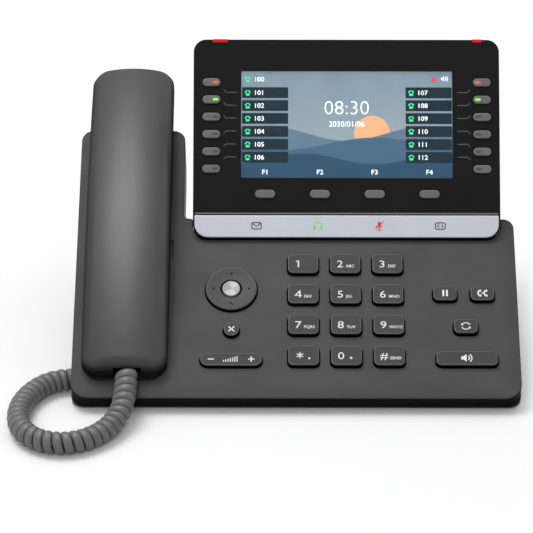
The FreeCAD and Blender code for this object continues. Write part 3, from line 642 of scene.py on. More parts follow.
# Darker painted shade on the handset's lower end wall.
HANDSET_END_PAINTED_SHADE = Finish("handset_end_painted_shade", grey(38), rough=0.7, specular=0.0, mottle=0.06, patch=30, grain=0.2)
KEY_PLASTIC = Finish("key_plastic", grey(70), specular=0.13, grain=0.25)
NAV_PLASTIC = Finish("nav_plastic", grey(77), rough=0.46, specular=0.2, grain=0.25)
# Painted shade on the key walls, near black.
KEY_WALL_PAINTED_SHADE = Finish("key_wall", grey(14), rough=0.6, specular=0.03, mottle=0.08, grain=0.2)
# Painted highlight on the keys' rounded rims, lighter than the key plastic.
KEY_EDGE_PAINTED_HIGHLIGHT = Finish("key_edge", grey(96), rough=0.4)
PANEL_BLACK = Finish("panel_black", grey(18), rough=0.45, mottle=0.08, grain=0.2, specular=0.2)
PANEL_KEY = Finish("panel_key", grey(112), grain=0.2)
STRIP_SILVER = Finish("strip_silver", srgb(222, 226, 236), rough=0.36, metal=0.1, mottle=0.03, grain=0.15,
                      grain_size=0.12)
# Its pale sectors are a painted sheen, set in the colour.
SPUN_SILVER_PAINTED_SHEEN = SpunPaintedSheenFinish("spun_silver_painted_sheen", srgb(168, 168, 170), metal=0.3, mottle=0.2, grain=0.2,
                         grain_size=0.08)
LEGEND_WHITE = Finish("legend_white", grey(244), rough=0.6, mottle=0.02)
BRACKET_GREY = Finish("bracket_grey", grey(120), rough=0.6, mottle=0.03)
GLASS = Finish("display_glass", (0.98, 0.98, 0.98), rough=0.01, mottle=0.01, grain=0.0, clear=1.0, bend=1.14)
CORD_JACKET = Finish("cord_jacket", grey(114), rough=0.38, mottle=0.06, patch=6, grain=0.2, grain_size=0.25)
PLUG_CLEAR = Finish("plug_clear", (0.85, 0.87, 0.88), rough=0.12, mottle=0.03, grain=0.05, clear=0.8)
GOLD = Finish("contact_gold", srgb(214, 172, 84), rough=0.28, metal=1.0)
STEEL = Finish("screw_steel", srgb(150, 150, 152), rough=0.32, metal=1.0, mottle=0.06, grain=0.2)
RUBBER = Finish("foot_rubber", grey(28), rough=0.85, mottle=0.12, patch=4, grain=0.6, specular=0.2)
JACK_BLACK = Finish("jack_black", grey(20), rough=0.35, mottle=0.08, grain=0.2)
BOARD = Finish("circuit_board", srgb(24, 82, 48), rough=0.4, mottle=0.2, patch=3, grain=0.3)
SILICONE = Finish("silicone", grey(120), rough=0.65, grain=0.2)
LAMP_RED = Finish("lamp_red", srgb(206, 20, 22), rough=0.35, specular=0.2, mottle=0.08, patch=3, glow=0.4)
LED_RED = Finish("led_red", srgb(236, 74, 60), rough=0.4, mottle=0.1, patch=1.0, grain=0.0, glow=0.8)
LED_GREEN = Finish("led_green", srgb(120, 222, 70), rough=0.4, mottle=0.1, patch=1.0, grain=0.0, glow=0.8)
LED_DIM = Finish("led_dim", grey(80), rough=0.4, mottle=0.15, patch=1.0)
# Black print for the dial's dots; also painted shade lining the plug pocket and the floors of the sound holes.
INK_AND_PAINTED_SHADE = Finish("ink_and_painted_shade", grey(12), rough=0.8, mottle=0.1, specular=0.1)
# Painted shade: a black disc stands in for the microphone's opening.
PAINTED_PORT_SHADE = Finish("painted_port_shade", grey(4), rough=0.8, mottle=0.1, specular=0.0)
MARK_DARK = Finish("mark_dark", grey(58), rough=0.6, mottle=0.04)
MARK_GREEN = Finish("mark_green", srgb(100, 206, 78), rough=0.6, mottle=0.04, glow=0.35)
MARK_RED = Finish("mark_red", srgb(214, 58, 50), rough=0.6, mottle=0.04, glow=0.25)

CAD_FINISHES: dict[str, Finish] = {
    "bottom_cover": TUB_GREY_FRONT_PAINTED_SHADE, "foot_stand": TUB_GREY_FRONT_PAINTED_SHADE, "rubber_feet": RUBBER, "base_screws": STEEL,
    "main_board": BOARD, "keypad_mat": SILICONE, "loudspeaker": STEEL, "rear_jacks": JACK_BLACK,
    "hook_switch": BLACK_PLASTIC_AND_PAINTED_SHADE, "panel_back": REAR_GREY, "display_module": JACK_BLACK,
    "message_lamps": LAMP_RED, "hinge_pins": STEEL, "handset_receiver": JACK_BLACK, "nav_carrier": JACK_BLACK,
}


# Meshes

def settle(piece: bpy.types.Object, body: str, slot: str, *nodes: str) -> bpy.types.Object:
    """Ties a finished piece to the frame.

    Args:
        piece: The piece.
        body: Body it rides on.
        slot: Its material slot.
        nodes: CAD nodes it stands for.

    Returns:
        The piece.
    """
    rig.ride(piece, body)
    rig.slot(piece, slot)
    if nodes:
        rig.replaces(piece, *nodes)
    LOG.info("%s on %s: %d faces", piece.name, body, len(piece.data.polygons))
    return piece


def linked(name: str, data: bpy.types.ID) -> bpy.types.Object:
    """A new object in the scene.

    Args:
        name: Its name.
        data: Its mesh, curve, lamp or camera.

    Returns:
        The object.
    """
    made = bpy.data.objects.new(name, data)
    bpy.context.scene.collection.objects.link(made)
    return made


def as_mesh(maker: bpy.types.Object, keep: bool = False) -> bpy.types.Mesh:
    """What an object with curves or modifiers makes.

    Args:
        maker: The object.
        keep: Whether it stays; otherwise it is removed.

    Returns:
        A plain mesh.
    """
    bpy.context.view_layer.update()
    graph = bpy.context.evaluated_depsgraph_get()
    made = bpy.data.meshes.new_from_object(maker.evaluated_get(graph), depsgraph=graph)
    if not keep:
        bpy.data.objects.remove(maker)
    return made


def mended(mesh: bpy.types.Mesh, merge: float) -> None:
    """Merges a mesh's doubles, drops its loose points and turns its faces outwards.

    Args:
        mesh: The mesh.
        merge: Distance within which points are one.
    """
    work = bmesh.new()
    work.from_mesh(mesh)
    bmesh.ops.remove_doubles(work, verts=work.verts, dist=merge)
    loose = [vertex for vertex in work.verts if not vertex.link_faces]
    bmesh.ops.delete(work, geom=loose, context="VERTS")
    bmesh.ops.recalc_face_normals(work, faces=work.faces)
    work.to_mesh(mesh)
    work.free()


def shaded(mesh: bpy.types.Mesh, sharp: float = CRISP) -> None:
    """Shades a mesh smooth but for its edges from an angle on, in degrees."""
    mesh.shade_smooth()
    mesh.set_sharp_from_angle(angle=math.radians(sharp))


@dataclass
class Moulding:
    """Points, faces and finish marks of one piece, gathered on the millimetre axes of a place."""

    place: Place
    points: list[Vector] = field(default_factory=list)
    faces: list[tuple[int, ...]] = field(default_factory=list)
    marks: list[int] = field(default_factory=list)

    def ring(self, outline: Outline, height: float | Callable[[float, float], float]) -> Ring:
        """Adds an outline's points.

        Args:
            outline: The outline.
            height: Height of them all, or the rule that gives it for each.

        Returns:
            Indices of the points.
        """
        first = len(self.points)
        rule = height if callable(height) else lambda x, y: height
        self.points += [Vector((x, y, rule(x, y))) for x, y in outline]
        return list(range(first, len(self.points)))

    def band(self, low: Ring, high: Ring, mark: int | list[int] = 0) -> None:
        """Joins two rings of as many points.

        Args:
            low: One ring.
            high: The other; the band faces outwards where it is above.
            mark: Index of the finish, or one for each face.
        """
        count = len(low)
        for here in range(count):
            there = (here + 1) % count
            self.faces.append((low[here], low[there], high[there], high[here]))
        self.marks += mark if isinstance(mark, list) else [mark] * count

    def stack(self, outline: Outline, profile: Sequence[Point], mark: int | list[int] = 0) -> list[Ring]:
        """Walls through a profile, in the order given.

        Args:
            outline: Outline of the walls.
            profile: Outward steps from it, with their heights.
            mark: Index of the finish, or one for each face round.

        Returns:
            The rings.
        """
        rings = [self.ring(grown(outline, step), height) for step, height in profile]
        for low, high in zip(rings, rings[1:]):
            self.band(low, high, mark)
        return rings

    def fill(self, outer: Ring, gaps: Sequence[Ring] = (), inner: Iterable[Triple] = (), under: bool = False,
             mark: int = 0) -> None:
        """Closes a ring with triangles, leaving gaps open.

        Args:
            outer: Ring round the face.
            gaps: Rings inside it that stay open.
            inner: Further points of the face.
            under: Whether the face looks down.
            mark: Index of its finish.
        """
        owners = [index for ring in (outer, *gaps) for index in ring]
        edges: list[tuple[int, int]] = []
        for ring in (outer, *gaps):
            first, count = len(edges), len(ring)
            edges += [(first + step, first + (step + 1) % count) for step in range(count)]
        for point in inner:
            owners.append(len(self.points))
            self.points.append(Vector(point))
        flat = [self.points[index].xy for index in owners]
        _, _, corners, sources, _, _ = delaunay_2d_cdt(flat, edges, [], 0, SAME_CORNER)
        around, *open_ways = [[tuple(self.points[index].xy) for index in ring] for ring in (outer, *gaps)]
        for corner in corners:
            face = [owners[sources[index][0]] for index in corner]
            middle = sum((self.points[index].xy for index in face), Vector((0, 0))) / 3
            if not holds(around, *middle) or any(holds(way, *middle) for way in open_ways):
                continue
            self.faces.append(tuple(reversed(face)) if under else tuple(face))
            self.marks.append(mark)

    def slab(self, outline: Outline, profile: Sequence[Point], mark: int = 0) -> None:
        """A closed solid.

        Args:
            outline: Outline of its walls.
            profile: Outward steps and heights, from its underside to its top.
            mark: Index of its finish.
        """
        rings = self.stack(outline, profile, mark)
        self.fill(rings[0], under=True, mark=mark)
        self.fill(rings[-1], mark=mark)

    def add(self, mesh: bpy.types.Mesh, mark: int = 0) -> None:
        """Takes in a mesh made on the same axes, and removes it.

        Args:
            mesh: The mesh.
            mark: Index of its finish.
        """
        first = len(self.points)
        self.points += [vertex.co.copy() for vertex in mesh.vertices]
        self.faces += [tuple(first + index for index in face.vertices) for face in mesh.polygons]
        self.marks += [mark] * len(mesh.polygons)
        bpy.data.meshes.remove(mesh)

    def piece(self, name: str, *finishes: Finish, sharp: float = CRISP) -> bpy.types.Object:
        """The finished mesh object in the row frame.

        Args:
            name: Name of the piece.
            finishes: Finishes in the order of the marks.
            sharp: Angle, in degrees, from which edges are crisp.

        Returns:
            The object, at the origin.
        """
        mesh = bpy.data.meshes.new(name)
        mesh.from_pydata(self.points, [], self.faces)
        for face, mark in zip(mesh.polygons, self.marks):
            face.material_index = mark
        mended(mesh, SAME_POINT)
        mesh.transform(self.place.matrix())
        for finish in finishes:
            mesh.materials.append(finish.material())
        shaded(mesh, sharp)
        made = linked(name, mesh)
        made.modifiers.new("even_flats", "WEIGHTED_NORMAL").keep_sharp = True
        return made


def cut_box(piece: bpy.types.Object, place: Place, low: Triple, high: Triple, finish: Finish) -> None:
    """Cuts a box out of a piece.

    Args:
        piece: The piece.
        place: Axes of the box.
        low: Its lowest corner.
        high: Its highest corner.
        finish: Finish that lines the cut.
    """
    tool = bpy.data.meshes.new("cutter")
    tool.materials.append(finish.material())
    work = bmesh.new()
    bmesh.ops.create_cube(work, size=1.0)
    for vertex in work.verts:
        vertex.co = place.at(*[a + (b - a) * (share + 0.5) for a, b, share in zip(low, high, vertex.co)])
    work.to_mesh(tool)
    work.free()
    cutter = linked("cutter", tool)
    taken = piece.modifiers.new("taken_out", "BOOLEAN")
    taken.operation = "DIFFERENCE"
    taken.solver = "EXACT"
    taken.material_mode = "TRANSFER"
    taken.object = cutter
    made, old = as_mesh(piece, keep=True), piece.data
    piece.modifiers.remove(taken)
    piece.data = made
    bpy.data.meshes.remove(old)
    made.name = piece.name
    bpy.data.objects.remove(cutter)
    made.set_sharp_from_angle(angle=math.radians(CRISP))


# Printed marks

class Print:
    """Flat marks on one face, as thin raised ink."""

    def __init__(self, place: Place, height: float, thick: float = 0.03) -> None:
        """Starts marks.

        Args:
            place: Axes of the face.
            height: Height that they stand on.
            thick: Thickness of the ink.
        """
        self.work = Moulding(place)
        self.low = height
        self.high = height + thick

    def shape(self, outline: Outline, mark: int = 0) -> None:
        """One closed mark."""
        self.work.slab(outline, [(0, self.low), (0, self.high)], mark)

    def box_line(self, x: float, y: float, wide: float, high: float, line: float, radius: float = 0.8) -> None:
        """The line of a round-cornered box, drawn as two halves.

        Args:
            x: Middle of the box across.
            y: Middle of the box along.
            wide: Its width.
            high: Its height.
            line: Width of the line.
            radius: Its corner radius.
        """
        for side in (-1.0, 1.0):
            path = [(x, y - high / 2)]
            for end, start in ((-1.0, -90), (1.0, 0)):
                for turn in range(start, start + 91, 30):
                    across, up = polar(wide / 2 - radius, end * (high / 2 - radius), radius, turn)
                    path.append((x + side * across, y + up))
            self.shape(stroke(path + [(x, y + high / 2)], line))

    def text(self, words: str, x: float, y: float, size: float, bold: float = 0.0, mark: int = 0,
             align: str = "CENTER", stretch: float = 1.0) -> None:
        """Words on a base line.

        Args:
            words: The words.
            x: Where they stand across.
            y: Where their base line is.
            size: Size of the letters.
            bold: Share of that size by which their strokes grow.
            mark: Index of their finish.
            align: Which part of them stands at x.
            stretch: How much wider they are set.
        """
        font = bpy.data.curves.new("words", "FONT")
        font.body = words
        font.size = size
        font.align_x = align
        font.offset = bold * size
        font.extrude = (self.high - self.low) / 2
        font.resolution_u = 3
        mesh = as_mesh(linked("words", font))
        bpy.data.curves.remove(font)
        middle = Matrix.Translation((x, y, (self.low + self.high) / 2))
        mesh.transform(middle @ Matrix.Diagonal((stretch, 1, 1, 1)))
        self.work.add(mesh, mark)

    def piece(self, name: str, body: str, slot: str, *finishes: Finish) -> bpy.types.Object:
        """The marks as one piece on a body."""
        return settle(self.work.piece(name, *finishes), body, slot)


# Repeated pieces

class Repeat(Enum):
    """Ways of setting out repeated pieces."""

    ROW = "row"
    CIRCLE = "circle"


@dataclass(frozen=True)
class Repeater:
    """Equal rounded bars or dots set out by a node tree.

    Attributes:
        way: How they are set out.
        count: How many there are.
        size: Width, depth and thickness of one.
        corner: Corner radius of one.
        step: Offset from one to the next in a row.
        radius: Radius of the circle they stand on.
        growth: Share by which each is deeper than the one before.
    """

    way: Repeat
    count: int
    size: Triple
    corner: float
    step: Triple = (0.0, 0.0, 0.0)
    radius: float = 0.0
    growth: float = 0.0

    def tree(self) -> bpy.types.NodeTree:
        """The node tree of this way, made on first use: a filleted bar, its places, and its copies made real.

        Returns:
            The tree.
        """
        name = f"repeat_{self.way.value}"
        known = bpy.data.node_groups.get(name)
        if known:
            return known
        tree = bpy.data.node_groups.new(name, "GeometryNodeTree")
        kinds = {"Count": "Int", "Step": "Vector", "Radius": "Float", "Width": "Float", "Depth": "Float",
                 "Thickness": "Float", "Corner": "Float", "Growth": "Float", "Finish": "Material"}
        for socket, kind in kinds.items():
            tree.interface.new_socket(socket, in_out="INPUT", socket_type=f"NodeSocket{kind}")
        tree.interface.new_socket("Geometry", in_out="OUTPUT", socket_type="NodeSocketGeometry")
        ends, maths, wiring = [Wiring(tree, family) for family in Family]
        given = ends.add("Input").outputs
        line = wiring.add("CurvePrimitiveQuadrilateral", Width=given["Width"],
                          Height=given["Depth"])
        soft = wiring.add("FilletCurve", mode="POLY", Curve=line,
                          Radius=given["Corner"], Count=5)
        flat = wiring.add("FillCurve", Curve=soft)
        raised = wiring.add("ExtrudeMesh", Mesh=flat, Offset_Scale=given["Thickness"],
                            Individual=False)
        lower = wiring.add("FlipFaces", Mesh=flat)
        bar = wiring.add("JoinGeometry")
        for half in (lower, raised):
            wiring.feed(bar.inputs["Geometry"], half)
        if self.way is Repeat.ROW:
            places = wiring.add("MeshLine", Count=given["Count"], Offset=given["Step"])
        else:
            places = wiring.add("MeshCircle", Vertices=given["Count"], Radius=given["Radius"])
        order = wiring.add("InputIndex")
        more = maths.add("Math", order, given["Growth"], 1.0, operation="MULTIPLY_ADD")
        scale = maths.add("CombineXYZ", X=1.0, Y=more, Z=1.0)
        copies = wiring.add("InstanceOnPoints", Points=places,
                            Instance=bar, Scale=scale)
        real = wiring.add("RealizeInstances", Geometry=copies)
        dressed = wiring.add("SetMaterial", Geometry=real,
                             Material=given["Finish"])
        ends.add("Output", Geometry=dressed)
        return tree

    def piece(self, name: str, finish: Finish, place: Place, start: Triple, body: str,
              slot: str) -> bpy.types.Object:
        """The copies as one piece.

        Args:
            name: Name of the piece.
            finish: Its finish.
            place: Axes it is set on.
            start: Point of those axes at the first copy, or at the circle's middle.
            body: Body it rides on.
            slot: Its material slot.

        Returns:
            The piece.
        """
        tree = self.tree()
        maker = linked("maker", bpy.data.meshes.new("maker"))
        modifier = maker.modifiers.new("repeat", "NODES")
        modifier.node_group = tree
        wide, deep, thick = self.size
        values = {"Count": self.count, "Step": self.step, "Radius": self.radius, "Width": wide, "Depth": deep,
                  "Thickness": thick, "Corner": self.corner, "Growth": self.growth, "Finish": finish.material()}
        for item in tree.interface.items_tree:
            if item.in_out == "INPUT":
                modifier[item.identifier] = values[item.name]
        mesh = as_mesh(maker)
        mesh.transform(place.matrix() @ Matrix.Translation(start))
        mesh.name = name
        mended(mesh, SAME_POINT * MM)
        shaded(mesh)
        return settle(linked(name, mesh), body, slot)


# Keys

@dataclass(frozen=True)
class Key:
    """One rounded key on a face, with its size in millimetres."""

    node: str
    x: float
    y: float
    wide: float
    deep: float
    corner: float

    def outline(self, steps: int = 7) -> Outline:
        """Outline of the cap."""
        return oblong(self.x, self.y, self.wide, self.deep, self.corner, steps)


@dataclass(frozen=True)
class Keypad:
    """The deck's keys, their legends and the navigation dial.

    Attributes:
        dial_size: Width, depth and corner radius of a dial key; the other sizes are alike.
        nav_profile: Radius and height of each line round the navigation ring, as in ok_profile.
        nav_marks: Finish of each band between those lines: painted shade on the walls and underside, a painted
            highlight on the outer rim, plain plastic on the dish.
    """

    rise: float = 2.5
    dish: float = 0.06
    slope: float = 0.9
    gap: float = 0.4
    bevel: float = 0.45
    flange: float = 1.0
    flange_top: float = -2.6
    flange_bottom: float = -3.8
    dial_left: float = 3.84
    dial_top: float = 81.4
    pitch_x: float = 22.18
    pitch_y: float = 19.1
    dial_size: Triple = (15.9, 11.9, 2.6)
    small_size: Triple = (12.3, 8.5, 2.6)
    speaker_size: Triple = (31.6, 8.5, 2.6)
    cancel_size: Triple = (8.0, 8.0, 3.98)
    nav_at: Point = (-33.9, 65.9)
    nav_radius: float = 13.4
    nav_sides: int = 72
    nav_profile: tuple[Point, ...] = (
        (13.4, -1.6), (13.4, 1.5), (13.2, 1.95), (12.7, 2.25), (12.2, 2.3), (10.6, 1.95), (9.0, 1.68),
        (7.0, 1.48), (5.7, 1.38), (5.4, 1.2), (5.3, 0.9), (5.3, -1.6),
    )
    nav_marks: tuple[int, ...] = (1, 2, 2, 0, 0, 0, 0, 0, 1, 1, 1, 1)
    nav_dots_radius: float = 9.3
    nav_dots_height: float = 1.74
    ok_profile: tuple[Point, ...] = (
        (4.7, -1.6), (4.7, 1.45), (4.6, 1.75), (4.35, 1.88), (4.05, 1.9), (2.0, 1.62), (0.25, 1.4),
    )
    rocker_at: Point = (-33.6, 21.8)
    rocker_size: Triple = (31.8, 7.6, 3.75)
    rocker_rise: float = 2.2
    rocker_dish: float = 0.05
    digit_size: float = 6.2
    letter_size: float = 2.4

    def dial_keys(self) -> list[Key]:
        """The twelve keys of the dial, row by row."""
        names = ("1", "2", "3", "4", "5", "6", "7", "8", "9", "star", "0", "hash")
        return [Key(f"key_{name}", self.dial_left + index % 3 * self.pitch_x,
                    self.dial_top - index // 3 * self.pitch_y, *self.dial_size)
                for index, name in enumerate(names)]

    def function_keys(self) -> list[Key]:
        """The keys beside the dial."""
        return [
            Key("hold_key", 78.0, 62.7, *self.small_size), Key("transfer_key", 97.5, 62.7, *self.small_size),
            Key("redial_key", 88.2, 42.2, *self.small_size), Key("speaker_key", 88.2, 22.5, *self.speaker_size),
            Key("cancel_key", -33.6, 40.2, *self.cancel_size),
        ]

    def holes(self) -> list[Outline]:
        """Openings that the deck leaves for the keys.

        Returns:
            Their outlines.
        """
        caps = [key.outline() for key in self.dial_keys() + self.function_keys()]
        caps.append(oblong(*self.rocker_at, *self.rocker_size, 7))
        caps.append(disc(*self.nav_at, self.nav_radius, 64))
        return [grown(cap, self.gap) for cap in caps]

    def build(self) -> None:
        """All keys, the rocker and the dial."""
        for key in self.dial_keys() + self.function_keys():
            foot = [(self.flange, self.flange_bottom), (self.flange, self.flange_top), (0.0, self.flange_top)]
            self.cap(f"cap_{key.node}", key.node, key.outline(), foot, self.rise, self.dish)
        rocker = oblong(*self.rocker_at, *self.rocker_size, 8)
        self.cap("rocker_cap", "volume_rocker", rocker, [(0.0, -self.rocker_rise)], self.rocker_rise,
                 self.rocker_dish)
        self.navigation()
        self.dial_legends()
        self.pictograms()
        self.volume_signs()

    def cap(self, name: str, node: str, outline: Outline, foot: Sequence[Point], top: float,
            dish: float) -> None:
        """One key: walls up from a foot, black as painted shade, a rounded rim lightened as a painted highlight, and a
        shallow dished top.

        Args:
            name: Name of the piece.
            node: Body it rides on, and CAD node it stands for.
            outline: Outline of its walls.
            foot: Outward steps and heights from its underside up to its walls.
            top: Height of its rim.
            dish: Depth of its dish.
        """
        work = Moulding(DECK)
        rim = rounding(self.bevel, top)
        walls = work.stack(outline, [*foot, rim[0]], 1)
        work.fill(walls[0], under=True, mark=1)
        work.stack(outline, rim, 2)
        crest = work.stack(outline, [rim[-1], (-self.bevel - self.slope, top - dish)])
        work.fill(crest[-1])
        settle(work.piece(name, KEY_PLASTIC, KEY_WALL_PAINTED_SHADE, KEY_EDGE_PAINTED_HIGHLIGHT), node, "key_plastic", node)

    def circles(self, work: Moulding, profile: Sequence[Point]) -> list[Ring]:
        """Rings about the navigation dial's middle, by radius and height."""
        return [work.ring(disc(*self.nav_at, radius, self.nav_sides), height)
                for radius, height in profile]

    def navigation(self) -> None:
        """The dished ring with its dots, and the spun button in its middle."""
        work = Moulding(DECK)
        rings = self.circles(work, self.nav_profile)
        for low, high, mark in zip(rings, rings[1:] + rings[:1], self.nav_marks):
            work.band(low, high, mark)
        # The walls take painted shade and the outer rim a painted highlight.
        piece = work.piece("nav_dish", NAV_PLASTIC, KEY_WALL_PAINTED_SHADE, KEY_EDGE_PAINTED_HIGHLIGHT)
        settle(piece, "nav_ring", "key_plastic", "nav_ring")
        dots = Repeater(Repeat.CIRCLE, 4, (1.1, 1.1, 0.08), 0.54, radius=self.nav_dots_radius)
        dots.piece("nav_dots", INK_AND_PAINTED_SHADE, DECK, (*self.nav_at, self.nav_dots_height), "nav_ring",
                   "key_plastic")
        button = Moulding(DECK)
        rings = self.circles(button, self.ok_profile)
        for low, high in zip(rings, rings[1:]):
            button.band(low, high)
        button.fill(rings[0], under=True)
        button.fill(rings[-1])
        settle(button.piece("ok_dish", SPUN_SILVER_PAINTED_SHEEN), "ok_button", "ok_silver", "ok_button")

    def dial_legends(self) -> None:
        """White digits with small letters beside them; one, four and the star are drawn as lines."""
        letters = ("", "ABC", "DEF", "GHI", "JKL", "MNO", "PQRS", "TUV", "WXYZ", "", "", "SEND")
        digits = ("", "2", "3", "", "5", "6", "7", "8", "9", "", "0", "#")
        broad, fine = 0.75, 0.5
        star = [polar(0.0, 0.0, 1.9, turn) for turn in (90, 30, 150)]
        lines = {
            "key_1": (broad, [[(-1.0, 3.55), (0.3, 4.35), (0.3, 0.0)]]),
            "key_4": (broad, [[(1.0, 0.0), (1.0, 4.4)], [(1.0, 4.15), (-1.5, 1.3), (1.9, 1.3)]]),
            "key_star": (fine, [[(0.9 - x, 2.4 - y), (0.9 + x, 2.4 + y)] for x, y in star]),
            "key_0": (fine, [[(4.3, 0.8), (5.9, 0.8)], [(5.1, 0.0), (5.1, 1.6)]]),
        }
        for key, digit, word in zip(self.dial_keys(), digits, letters):
            ink = Print(DECK, self.rise - self.dish)
            x, y = key.x - 2.8, key.y - 2.5
            ink.text(digit, x, y, self.digit_size, stretch=1.16)
            ink.text(word, x + 3.0, y, self.letter_size, 0.012, align="LEFT")
            wide, paths = lines.get(key.node, (fine, []))
            for path in paths:
                ink.shape(stroke([(x + across, y + up) for across, up in path], wide))
            if key.node == "key_star":
                ink.shape(disc(x + 5.7, y + 0.5, 0.55, 14))
            ink.piece(f"legend_{key.node}", key.node, "key_plastic", LEGEND_WHITE)

    def pictograms(self) -> None:
        """A plain sign on each key beside the dial."""
        inks = [Print(DECK, self.rise - self.dish) for _ in self.function_keys()]
        hold, transfer, redial, speaker, cancel = zip(inks, self.function_keys())
        ink, key = hold
        for side in (-0.95, 0.95):
            ink.shape(oblong(key.x + side, key.y, 0.95, 4.0, 0.1, 2))
        ink, key = transfer
        for side in (-1.7, 1.5):
            self.receiver(ink, key.x + side, key.y, 1.05, 90.0)
        ink.shape(disc(key.x, key.y, 0.45, 14))
        ink, key = redial
        for start in (20.0, 200.0):
            base, tip = start + 122, start + 152
            bow = arc_band(0.0, 0.0, 2.2, 0.55, start, start + 130)
            head = [polar(0.0, 0.0, reach, turn) for reach, turn in ((1.3, base), (3.1, base), (2.2, tip))]
            for mark in (bow, head):
                ink.shape(Outline([(key.x + 1.05 * x, key.y + 0.9 * y) for x, y in mark]))
        ink, key = speaker
        self.loud(ink, key.x - 1.3, key.y, 1.2)
        ink, key = cancel
        for tilt in (1.5, -1.5):
            ink.shape(stroke([(key.x - 1.5, key.y - tilt), (key.x + 1.5, key.y + tilt)], 0.6))
        for ink, key in zip(inks, self.function_keys()):
            sign = key.node.removesuffix("_key")
            ink.piece(f"sign_{sign}", key.node, "key_plastic", LEGEND_WHITE)

    def volume_signs(self) -> None:
        """A minus, a plus and rising bars on the rocker."""
        x, y, top = *self.rocker_at, self.rocker_rise - self.rocker_dish
        end, line = 10.4, 0.62
        ink = Print(DECK, top)
        for side in (-end, end):
            ink.shape(oblong(x + side, y, 3.3, line, 0.05, 2))
        for side in (-1.0, 1.0):
            ink.shape(oblong(x + end, y + side, line, 1.35, 0.05, 2))
        ink.piece("sign_volume", "volume_rocker", "key_plastic", LEGEND_WHITE)
        bars = Repeater(Repeat.ROW, 7, (0.46, 1.1, 0.03), 0.08, step=(1.15, 0.187, 0.0), growth=0.34)
        bars.piece("sign_volume_bars", LEGEND_WHITE, DECK, (x - 3.8, y - 1.1, top), "volume_rocker",
                   "key_plastic")

    @staticmethod
    def receiver(ink: Print, x: float, y: float, size: float, turn: float = 0.0, mark: int = 0) -> None:
        """A small handset sign: a bow with two blunt ends.

        Args:
            ink: Marks to draw in.
            x: Middle across.
            y: Middle along.
            size: Its scale.
            turn: Its turn, in degrees.
            mark: Index of its finish.
        """
        aim = Matrix.Rotation(math.radians(turn), 2)
        marks = [arc_band(0.0, -1.6 * size, 2.1 * size, 0.75 * size, 42, 138)]
        marks += [oblong(side * size, -0.55 * size, 1.15 * size, 1.1 * size, 0.25 * size, 3)
                  for side in (-1.45, 1.45)]
        for outline in marks:
            ink.shape(Outline([tuple(Vector((x, y)) + aim @ Vector(point)) for point in outline]), mark)

    @staticmethod
    def loud(ink: Print, x: float, y: float, size: float, mark: int = 0) -> None:
        """A small loudspeaker sign with two waves.

        Args:
            ink: Marks to draw in.
            x: Middle across.
            y: Middle along.
            size: Its scale.
            mark: Index of its finish.
        """
        horn = ((-1.5, -0.8), (-0.5, -0.8), (0.8, -1.9), (0.8, 1.9), (-0.5, 0.8), (-1.5, 0.8))
        ink.shape(Outline([(x + across * size, y + up * size) for across, up in horn]), mark)
        for radius in (1.4, 2.5):
            ink.shape(arc_band(x + 0.6 * size, y, radius * size, 0.5 * size, -46, 46), mark)


# Base

